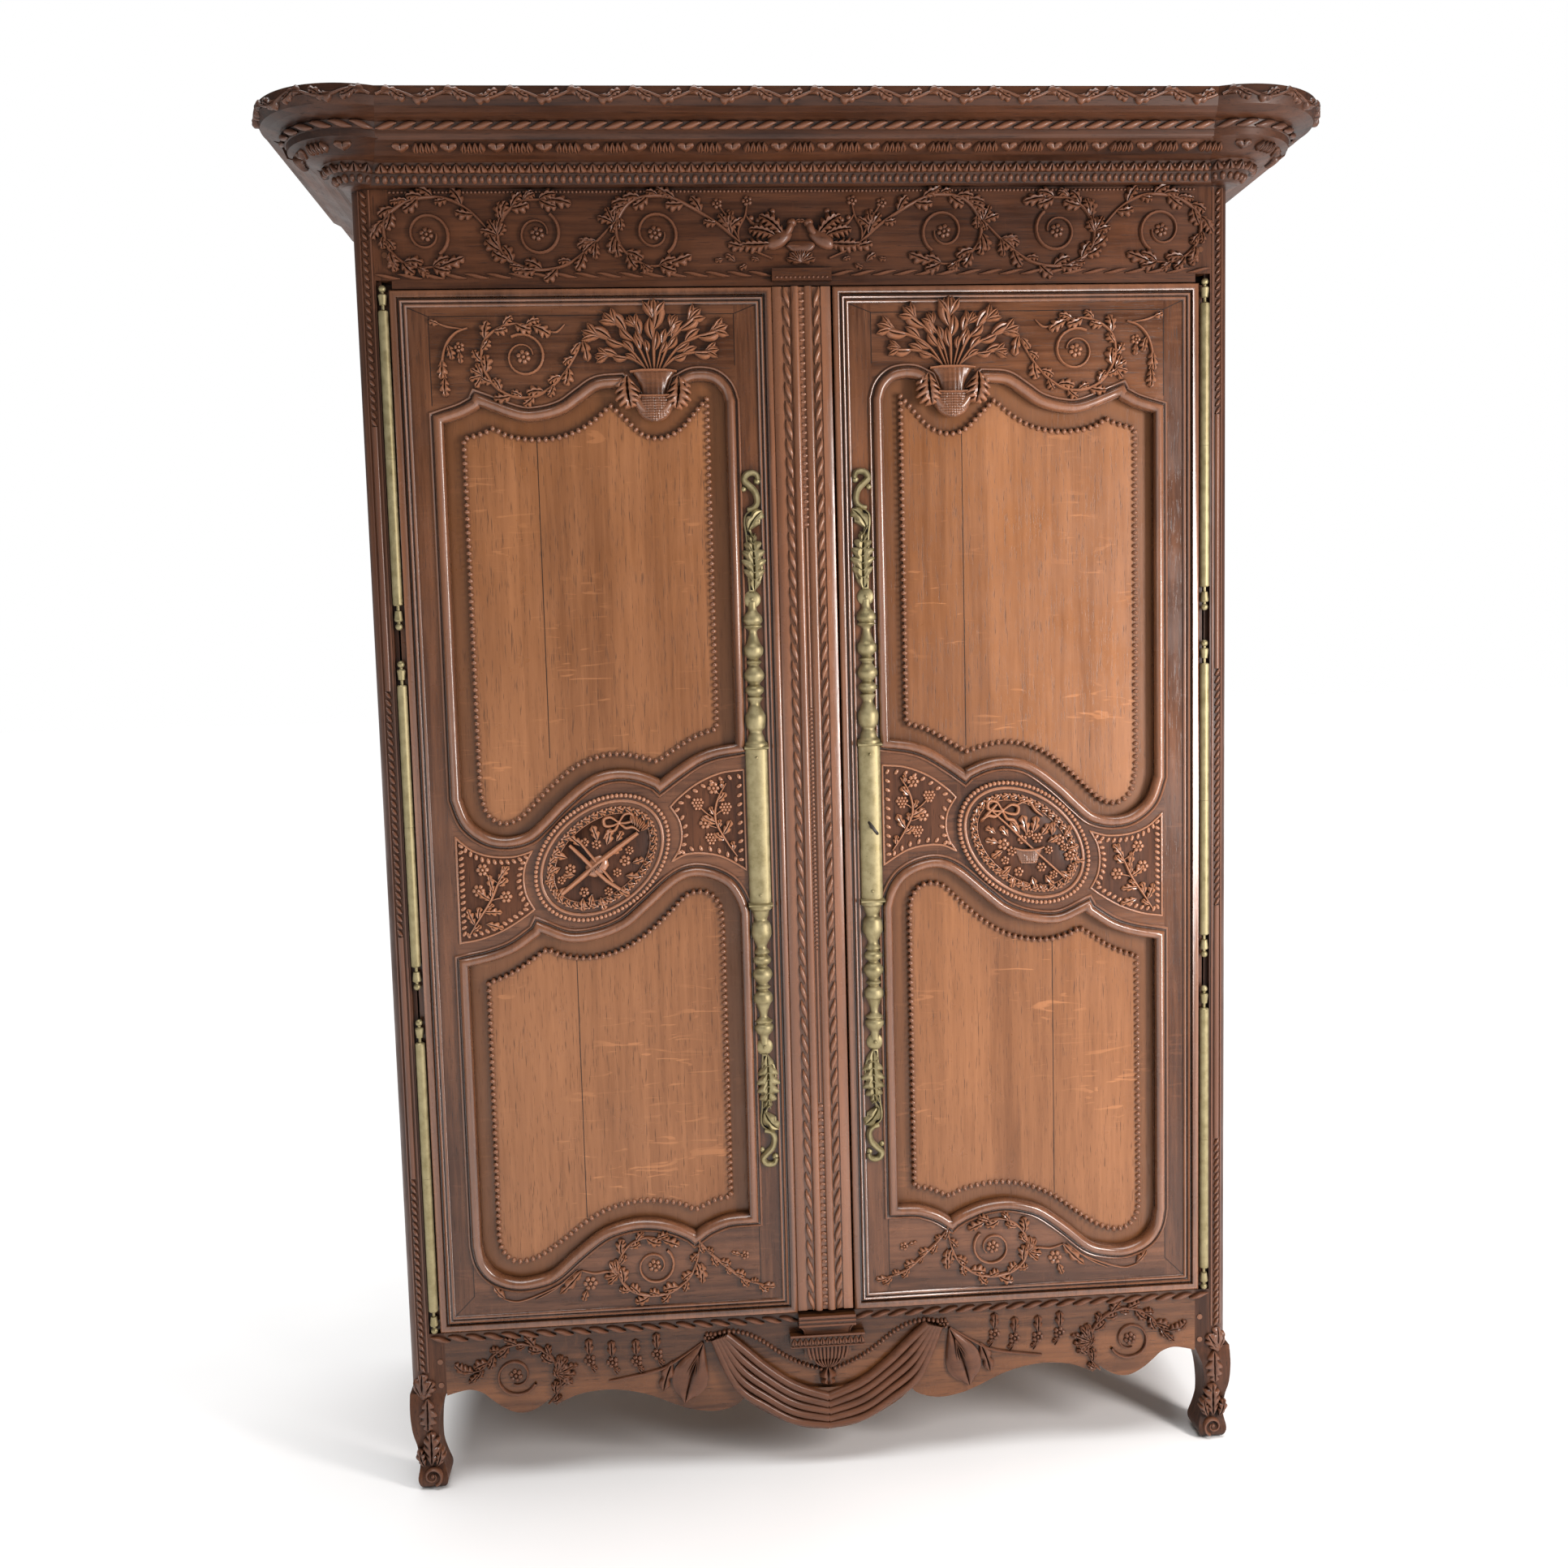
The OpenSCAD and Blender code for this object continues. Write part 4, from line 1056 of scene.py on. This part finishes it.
def music_trophy(c):
    """Left door: bow, torch and quiver crossed, pipes and flowers."""
    bow(c, 338, 1178, 24, -10)
    stem(c, [(306, 1160), (340, 1136), (376, 1110), (410, 1082), (440, 1058)], 11, 8, 0.75)
    for k in range(5):
        leaf(c, 302 + 3 * k, 1162 + 3 * k, 140 - 14 * k, 20, 7, 1, 0, 7)
    stem(c, [(424, 1142), (404, 1122), (384, 1100), (362, 1078), (340, 1062)], 9, 7.5, 0.7)
    stem(c, [(410, 1152), (392, 1128), (372, 1102), (352, 1076)], 6, 6, 0.8)
    dome(c, 378, 1104, 17, 8, 1.35, TILT)
    for k in range(4):
        stem(c, [(368 + 5 * k, 1112 - 3 * k), (376 + 5 * k, 1100 - 3 * k)], 1.6, 10, 0.9)
    flowers = ((330, 1112, 10), (344, 1092, 8), (402, 1060, 9), (424, 1100, 10), (440, 1082, 8),
               (378, 1142, 9), (398, 1146, 8), (360, 1060, 8), (452, 1100, 7), (322, 1130, 8))
    leaves = ((360, 1140, 110, 30), (376, 1148, 80, 28), (404, 1140, 50, 26), (428, 1120, 20, 26),
              (440, 1104, -20, 24), (432, 1070, -45, 24), (404, 1050, -80, 24), (374, 1050, -100, 24),
              (344, 1064, -140, 24), (330, 1086, 190, 24), (318, 1108, 170, 22), (344, 1146, 130, 22),
              (388, 1056, -70, 22), (450, 1084, -10, 20), (416, 1090, 0, 22), (352, 1124, 150, 22))
    strew(c, flowers, leaves, 0.5, -15)


IN_CARTOUCHE = [
    [(121, 1262), (160, 1258), (200, 1242), (232, 1219), (249, 1202)],
    [(249, 1202), (235, 1178), (231, 1152), (236, 1128), (249, 1107)],
    [(249, 1107), (225, 1118), (195, 1119), (160, 1111), (121, 1088)]]
OUT_CARTOUCHE = [
    [(489, 1133), (520, 1125), (560, 1127), (592, 1139), (617, 1160)],
    [(617, 978), (580, 984), (540, 999), (505, 1020), (489, 1032)],
    [(489, 1032), (501, 1056), (505, 1083), (501, 1110), (489, 1133)]]


def cartouche_frame(c, lines, toward):
    """A fillet round a cartouche and a row of leaf teeth inside it."""
    line = np.concatenate([smooth(s) for s in lines])
    band(c, line, half_round(4, 2.6), closed=True)
    inner = toward + (line - toward) * 0.86
    at = spaced(np.concatenate([inner, inner[:1]]), round(length_of(inner) / 11), closed=True)
    for (u, v), turn in zip(at, np.degrees(headings(np.concatenate([at, at[:1]])))):
        dome(c, u, v, 3.3, 4, 1.7, turn + 60)


def sprig(c, path, tips):
    """A stem with side twigs that end in flowers (f) or berries (b)."""
    stem(c, path, 5, 5, 0.5)
    leafy(c, path, 6, 21, 2, 5.5, 45, 1, 0.5)
    for u, v, kind, at in tips:
        joint = path[int(at * (len(path) - 1))]
        middle = ((u + joint[0]) / 2 + 3, (v + joint[1]) / 2)
        stem(c, smooth([tuple(joint), middle, (u, v)]), 3, 3.5, 0.5)
        if kind == "b":
            berries(c, u, v)
        else:
            rosette(c, u, v, 11, 6, 6)


def cartouches(c):
    cartouche_frame(c, IN_CARTOUCHE, np.array((180, 1180)))
    cartouche_frame(c, OUT_CARTOUCHE, np.array((562, 1062)))
    sprig(c, smooth([(136, 1112), (158, 1146), (172, 1178), (168, 1210), (152, 1240)]),
          ((154, 1196, "b", 0.55), (202, 1205, "b", 0.5), (180, 1144, "b", 0.25), (190, 1172, "f", 0.4),
           (174, 1232, "f", 0.85)))
    leaf(c, 160, 1150, 130, 30, 12, 2, -20, 5)
    leaf(c, 168, 1170, 20, 30, 12, 2, 15, 5)
    sprig(c, smooth([(601, 990), (582, 1020), (562, 1050), (548, 1080), (532, 1104)]),
          ((536, 1056, "f", 0.5), (582, 1068, "f", 0.5), (574, 1104, "f", 0.75)))
    for u, v, heading in ((556, 1064, 70), (590, 1008, 60), (572, 1010, 190), (548, 1084, 120),
                          (560, 1050, 30), (575, 1030, 175)):
        leaf(c, u, v, heading, 32, 11, 3, 15, 5)


def grounds(c):
    """The dark ground behind the cartouches' and the medallion's carving: a punched ground's own tone,
    darkened further as painted shade of the sunk ground.
    """
    for lines in (IN_CARTOUCHE, OUT_CARTOUCHE):
        pad(c, np.concatenate([smooth(s) for s in lines]), 0.5, 1)
    pad(c, ellipse(*ELLIPSE, 94, 61, TILT, 72), 5.6, 1)


for side, mirror in SIDES:
    body = f"{side}_door"
    trophy, seam = (music_trophy, 452) if mirror else (garden_trophy, 270)
    for name, finish, parts in (
            ("door_mouldings", GLOSSY, [door_mouldings]),
            ("joint_lines", SEAM, [lambda c: seams(c, seam, 420)]),
            ("field_edges", UPRIGHT["frame_oak"], [field_edges]),
            ("rail_carving", CARVED["frame_oak"], [top_rail_carving, bottom_rail_carving, basket]),
            ("punched_shaded_ground", PUNCHED_SHADED_GROUND, [grounds]),
            ("middle_carving", MEDAL_LIT, [cartouches, medallion_frame, trophy])):
        carve(f"{side}_{name}", body, finish, "frame_oak", *parts, mirror=mirror)


# ---------- Centre stile ----------

STILE_MIDDLE = (edge("false_stile", 0, "x") + edge("false_stile", 1, "x")) / 2
STILE_LOW = edge("false_stile", 0, "z")


def centre_stile(c):
    """The stile between the doors: one moulded section, then its twists and its beads."""
    half = [(-50, -24), (-50, 4.5), (-48.5, 6), (-33, 6), (-32.4, 3.5), (-31, 3.5), (-19, 3.5),
            (-18.4, 3.5), (-18, 7), (-15.5, 9.2), (-11.5, 10), (-7.5, 9.2), (-5, 7), (-4.4, 3.5),
            (0, 3.5)]
    section = half + [(-x, y) for x, y in half[-2::-1]]
    section.append(section[0])
    for end in bar(c, STILE_MIDDLE, section, STILE_LOW, DOOR_TOP)[:, :-1]:
        cap = np.stack([end, np.repeat([[STILE_MIDDLE, end[0, 1], -5]], len(end), 0)])
        c.patch(cap, wrap=True)
    c.on(on_front, sink=1, base=3.5)
    for x, lean in ((-25.5, 1), (25.5, -1)):
        line = ((STILE_MIDDLE + x, STILE_LOW + 2), (STILE_MIDDLE + x, DOOR_TOP - 2))
        twist(c, *line, 13, 31, 6, lean, 0.72)
    for low, high, pitch in ((STILE_LOW + 4, 668, 13), (942, 1366, 7.4), (1672, DOOR_TOP - 4, 13)):
        line = [(STILE_MIDDLE, low), (STILE_MIDDLE, high)]
        beads(c, line, pitch, 3.4, 4.2, stretch=pitch / 7.2)
    for low, high in ((668, 942), (1366, 1672)):
        band(c, [(STILE_MIDDLE, low), (STILE_MIDDLE, high)], half_round(5, 3.4))


carve("centre_stile", "left_door", UPRIGHT["frame_oak"], "frame_oak", centre_stile,
      hides=["false_stile"])


# ---------- Posts and feet ----------


def on_knee(u, v, h):
    """The post's corner, with the carving drawn wider round it."""
    return on_post((u - 18) * 1.4 + 18, v, h)


def post_carving(c):
    c.on(on_post, sink=1.5)
    for low, high in ((211, 564), (992, 1414), (1853, CASE_TOP - 2)):
        size = (high - low) / max(1, round((high - low) / 13))
        s = np.linspace(-1, 1, 6)
        for k in range(round((high - low) / size)):
            middle = low + (k + 0.5) * size
            stem(c, np.stack([20 + s * 6.5, middle + s * size * 0.42], -1), 7, 3.4, 0.4)
    for low, high in ((564, 992), (1414, 1853)):
        band(c, [(20, low), (20, high)], [(-8, -1.5), (-7, 1.6), (-3.5, 3.4), (0, 4), (3.5, 3.4),
                                          (7, 1.6), (8, -1.5)])
    for angle in (5.5, 35):
        fillet = [(-2.4, -1.5), (-2, 1.1), (0, 1.7), (2, 1.1), (2.4, -1.5)]
        band(c, [(angle, 211), (angle, CASE_TOP - 1)], fillet)
    c.on(on_knee, sink=4)
    for heading, size in ((90, 46), (62, 38), (118, 38)):
        leaf(c, 20, 162, heading, size, size * 0.5, 3, 0, 6)
    dome(c, 20, 168, 9, 8)


def foot_carving(c):
    """The scroll foot's volute and its leaves."""
    c.on(on_front, sink=9, base=7)
    stem(c, spiral(708, 24, 17, 5, 250, -470), 8, 7, 0.5, both=False)
    dome(c, 708, 24, 5, 8)
    leaf(c, 709, 44, 96, 62, 24, 4, -10, 7)
    leaf(c, 700, 42, 120, 34, 14, 3, -30, 6)
    leaf(c, 720, 42, 60, 34, 14, 3, 30, 6)
    c.on(on_front, sink=9, base=5)
    leaf(c, 712, 166, -92, 60, 26, 4, 6, 6)


for side, mirror in SIDES:
    carve(f"front_post_carving_{side}", "case", UPRIGHT["dark_oak"], "frame_oak",
          post_carving, foot_carving, mirror=mirror)


# ---------- Apron ----------

DRAPE_OUT = 8
DRAPE_INNER = np.array([(0, 132), (60, 157), (110, 194), (150, 232), (180, 252)])
DRAPE_OUTER = np.array([(0, 66), (60, 76), (110, 104), (166, 148), (206, 246)])
SWAG = [(205, 250), (178, 255), (150, 250), (128, 240), (110, 228), (70, 199), (30, 180), (0, 173)]


def apron_half(c):
    twist(c, (52, 271), (POST_IN + 22, 271), 14, 31, 6.5)
    c.on(on_front, sink=3, base=DRAPE_OUT)
    for s in (0.1, 0.3, 0.5, 0.7, 0.9):
        band(c, smooth(DRAPE_INNER + (DRAPE_OUTER - DRAPE_INNER) * s), half_round(14.5, 9, 3))
    c.on(on_front)
    beads(c, smooth(SWAG), 8.4, 4, 8)
    rosette(c, 212, 246, 10, 6, 9)
    leaf(c, 222, 238, -64, 116, 50, 1, -14, 8)
    for heading in (-40, -58, -78, -92):
        stem(c, smooth([(232, 218), (236 + 26 * math.cos(math.radians(heading)),
                                     196 + 20 * math.sin(math.radians(heading)))]), 2.2, 9.5, 0.6)
    stem(c, smooth([(224, 238), (262, 212), (300, 192), (350, 182), (392, 176)]), 5, 4.5, 0.4)
    leaf(c, 278, 206, -62, 58, 20, 2, -18, 6.5)
    for u, v in ((305, 236), (342, 226), (385, 226), (425, 232)):
        leaf(c, u, v - 6, 88, 30, 14, 2, 0, 6)
        rosette(c, u, v - 16, 11, 5, 6)
        stem(c, [(u, v - 22), (u - 3, v - 32), (u - 8, v - 40)], 3, 3, 0.5)
        leaf(c, u - 2, v - 24, 225, 15, 7, 2, 0, 4)
    outer = smooth([(500, 140), (484, 160), (478, 190), (492, 226), (524, 250), (560, 253),
                    (592, 238), (612, 214), (636, 206)])
    stem(c, outer, 6.5, 4.5, 0.5)
    leafy(c, outer, 17, 28, 3, 6.5, 46, 1, 0.52)
    leaf(c, 636, 206, 20, 32, 14, 3, 30, 6)
    leaf(c, 620, 206, -50, 26, 11, 3, 10, 6)
    for heading in (150, 180, 210, 120, 95):
        leaf(c, 484, 196, heading, 34, 13, 3, 12, 6.5)
    scroll(c, 556, 196, 38, 205, 440, 5.5)
    leafy(c, smooth([(440, 212), (460, 196), (482, 176)]), 4, 18, 2, 5)


def shell(c):
    """The fluted shell over the apron's middle."""
    c.on(on_front, sink=2, base=14)
    for k in range(11):
        u = (k - 5) * 7.2
        stem(c, [(u, 224), (u * 0.95, 212), (u * 0.85, 200)], 6.4, 3.5, 0.8)
    c.on(on_front, sink=3)
    for k in range(9):
        u = (k - 4) * 7
        stem(c, [(u, 202), (u * 0.7, 190), (u * 0.3, 181)], 6, 9, 0.6)
    leaf(c, 0, 182, -90, 34, 26, 2, 0, 12)
    dome(c, 0, 160, 10, 12, 1.25, 90)
    c.on(on_front, sink=2, base=20)
    for k in range(13):
        leaf(c, (k - 6) * 10, 243, -90, 15, 9, 1, 0, 3)
    for half, z, wide in ((67, 245, 4), (67, 226, 4), (51, 264, 4.5), (51, 272, 4.5), (51, 279, 4.5)):
        band(c, [(-half, z), (half, z)], half_round(wide, 2.4))
    c.on(on_front, sink=2, base=3)
    for side in (1, -1):
        stem(c, smooth([(side * 40, 245), (side * 43, 254), (side * 51, 262)]), 5, 7, 0.8)
    pad(c, [(-40, 244), (40, 244), (48, 262), (-48, 262)], 8, 3)


carve("apron_carving", "case", CARVED["dark_oak"], "dark_oak",
      lambda c: both_sides(c, apron_half), shell)


# ---------- Keyplates ----------

TURNED = [(20, 0), (20, 8), (16, 12), (14, 20), (11, 28), (16, 35), (18, 45), (18, 55), (14, 64),
          (9, 76), (14, 86), (10, 90), (16, 97), (15, 104), (9, 110), (15, 117), (18, 125), (15, 133),
          (9, 142), (14, 148), (9, 153), (16, 161), (17, 172), (12, 180), (7, 200), (16, 208), (13, 212),
          (17, 218), (15, 227), (8, 236), (8, 250)]
BOX_HALF = 136


def keyplate_half(c, up):
    """The part of a keyplate above its middle box, or below it where up is -1."""

    def point(u, v):
        return KEY_X + u, BOX_MID + up * v

    c.on(on_front, sink=0)
    profile = smooth(TURNED, 4)
    angle = np.linspace(-math.pi / 2, math.pi / 2, 15)
    grid = np.zeros((len(profile), len(angle), 3))
    grid[..., 0] = KEY_X + profile[:, :1] * np.sin(angle)
    grid[..., 1] = (BOX_MID + up * (BOX_HALF + profile[:, 1]))[:, None]
    grid[..., 2] = profile[:, :1] * np.cos(angle)
    c.patch(grid)
    u, v = point(0, 391)
    c.on(on_front, sink=0)
    dome(c, u, v, 15, 6, sides=20)
    dome(c, u, v, 3.2, 3.4, base=6, sides=10)
    outline = smooth([point(*p) for p in (
        (-5, 404), (-17, 425), (-20, 447), (-16, 467), (-9, 487), (-2, 505), (-1, 518), (-5, 526),
        (-11, 520), (-17, 518), (-16, 536), (-4, 542), (8, 534), (11, 520), (8, 495), (8, 460),
        (7, 442), (5, 404))], 4)
    rings = [(0, 0), (0, 4.4), (1.2, 5.8), (2.6, 6.4)]
    band(c, outline[::-1] if up > 0 else outline, [(d, h) for d, h in rings], closed=True)
    leaf(c, *point(-4, 404), 90 * up + 3 * up, 98, 32, 6, -8 * up, 9)
    for k in range(7):
        stem(c, smooth([point(-14 + k, 430 + 12 * k), point(-4, 424 + 12 * k), point(5, 440 + 12 * k)]),
             2.4, 10, 0.5)
    leaf(c, *point(4, 505), 90 * up + 15 * up, 44, 22, 2, 40 * up, 8)
    stem(c, smooth([point(*p) for p in (
        (-16, 592), (-13, 601), (-5, 604), (4, 601), (8, 592), (1, 584), (-9, 574), (-13, 562),
        (-12, 551), (-5, 544), (4, 542))]), 11.5, 7.5, 0.75)
    dome(c, *point(-14, 590), 6, 7)
    dome(c, *point(9, 577), 5, 6)


def keyplate(c):
    low, high = BOX_MID - BOX_HALF - 1, BOX_MID + BOX_HALF + 1
    section = [(-19, 0), (-19, 5), (-17.6, 7), (-11, 12), (11, 12), (17.6, 7), (19, 5), (19, 0)]
    c.on(on_front, sink=0)
    bar(c, KEY_X, section, low, high)
    for z in (low, high):
        stem(c, [(KEY_X - 21, z), (KEY_X, z), (KEY_X + 21, z)], 7, 15, 1.0)
    for z in (BOX_MID - 120, BOX_MID + 120):
        dome(c, KEY_X, z, 2.6, 2.6, base=12, sides=10)
    keyplate_half(c, 1)
    keyplate_half(c, -1)


for side, mirror in SIDES:
    nodes = [f"{side}_keyplate", f"{side}_keyplate_nails"]
    carve(f"{side}_key_plate", f"{side}_door", BRASS, "brass", keyplate, mirror=mirror, hides=nodes,
          sharp=40)


# ---------- Room, light and camera ----------


def floor_finish():
    n = Nodes("floor_pale")
    place = n.add("ShaderNodeTexCoord").outputs["Object"]
    colour = n.ramp(n.noise(place, 2.0, 2.0), (0.3, (0.86, 0.86, 0.86)), (0.7, (0.9, 0.9, 0.9)))
    n.put(colour, n.shader.inputs["Base Color"])
    n.put(0.9, n.shader.inputs["Roughness"])
    return n.material


room = bpy.data.meshes.new("floor")
room.from_pydata([(-30, -30, 0), (30, -30, 0), (30, 30, 0), (-30, 30, 0)], [], [(0, 1, 2, 3)])
room.materials.append(floor_finish())
floor = add_object("floor", room)

AMBIENT = 0.19

world = bpy.data.worlds.new("studio")
world.use_nodes = True
sky = world.node_tree
backdrop = sky.nodes["Background"]
backdrop.inputs["Color"].default_value = (1, 1, 1, 1)
seen = sky.nodes.new("ShaderNodeLightPath").outputs["Is Camera Ray"]
strength = sky.nodes.new("ShaderNodeMapRange")
strength.inputs["To Min"].default_value = AMBIENT
strength.inputs["To Max"].default_value = 1.0
sky.links.new(seen, strength.inputs["Value"])
sky.links.new(strength.outputs["Result"], backdrop.inputs["Strength"])
bpy.context.scene.world = world
bpy.context.scene.view_settings.view_transform = "Standard"


def area_light(name, place, aim, size, power, colour=(1, 1, 1)):
    data = bpy.data.lights.new(name, "AREA")
    data.shape = "RECTANGLE"
    data.size, data.size_y = size
    data.energy = power
    data.color = colour
    light = add_object(name, data)
    light.location = place
    light.rotation_euler = (Vector(aim) - Vector(place)).to_track_quat("-Z", "Y").to_euler()


area_light("key", (1.75, -1.65, 1.42), (0.35, 0, 1.05), (0.4, 1.4), 54, (1, 0.94, 0.91))
area_light("fill", (-2.6, -3.2, 0.8), (0, 0, 0.7), (0.7, 0.9), 6, (1, 0.93, 0.88))

overhead = bpy.data.lights.new("overhead", "SUN")
overhead.energy = 3.4
overhead.angle = math.radians(50)
sun = add_object("overhead", overhead)
sun.location = (0, 0, 6)


def tipped(a, b, angle):
    """The pair of axes a and b turned in their own plane, a towards b."""
    cos, sin = math.cos(angle), math.sin(angle)
    return a * cos + b * sin, b * cos - a * sin


YAW, PITCH, ROLL = -0.0712, 0.0948, -0.0261
right = Vector((math.cos(YAW), math.sin(YAW), 0))
ahead = Vector((-math.sin(YAW), math.cos(YAW), 0))
up = Vector((0, 0, 1))
ahead, up = tipped(ahead, up, -PITCH)
right, up = tipped(right, up, ROLL)
lens = bpy.data.cameras.new("camera")
lens.sensor_width = 36
lens.lens = 33.8
lens.clip_start = 0.05
camera = add_object("camera", lens)
facing = Matrix((right, up, -ahead)).transposed().to_4x4()
camera.matrix_world = Matrix.Translation((-0.2321, FACE * MM - 2.5351, 1.4766)) @ facing
bpy.context.scene.camera = camera
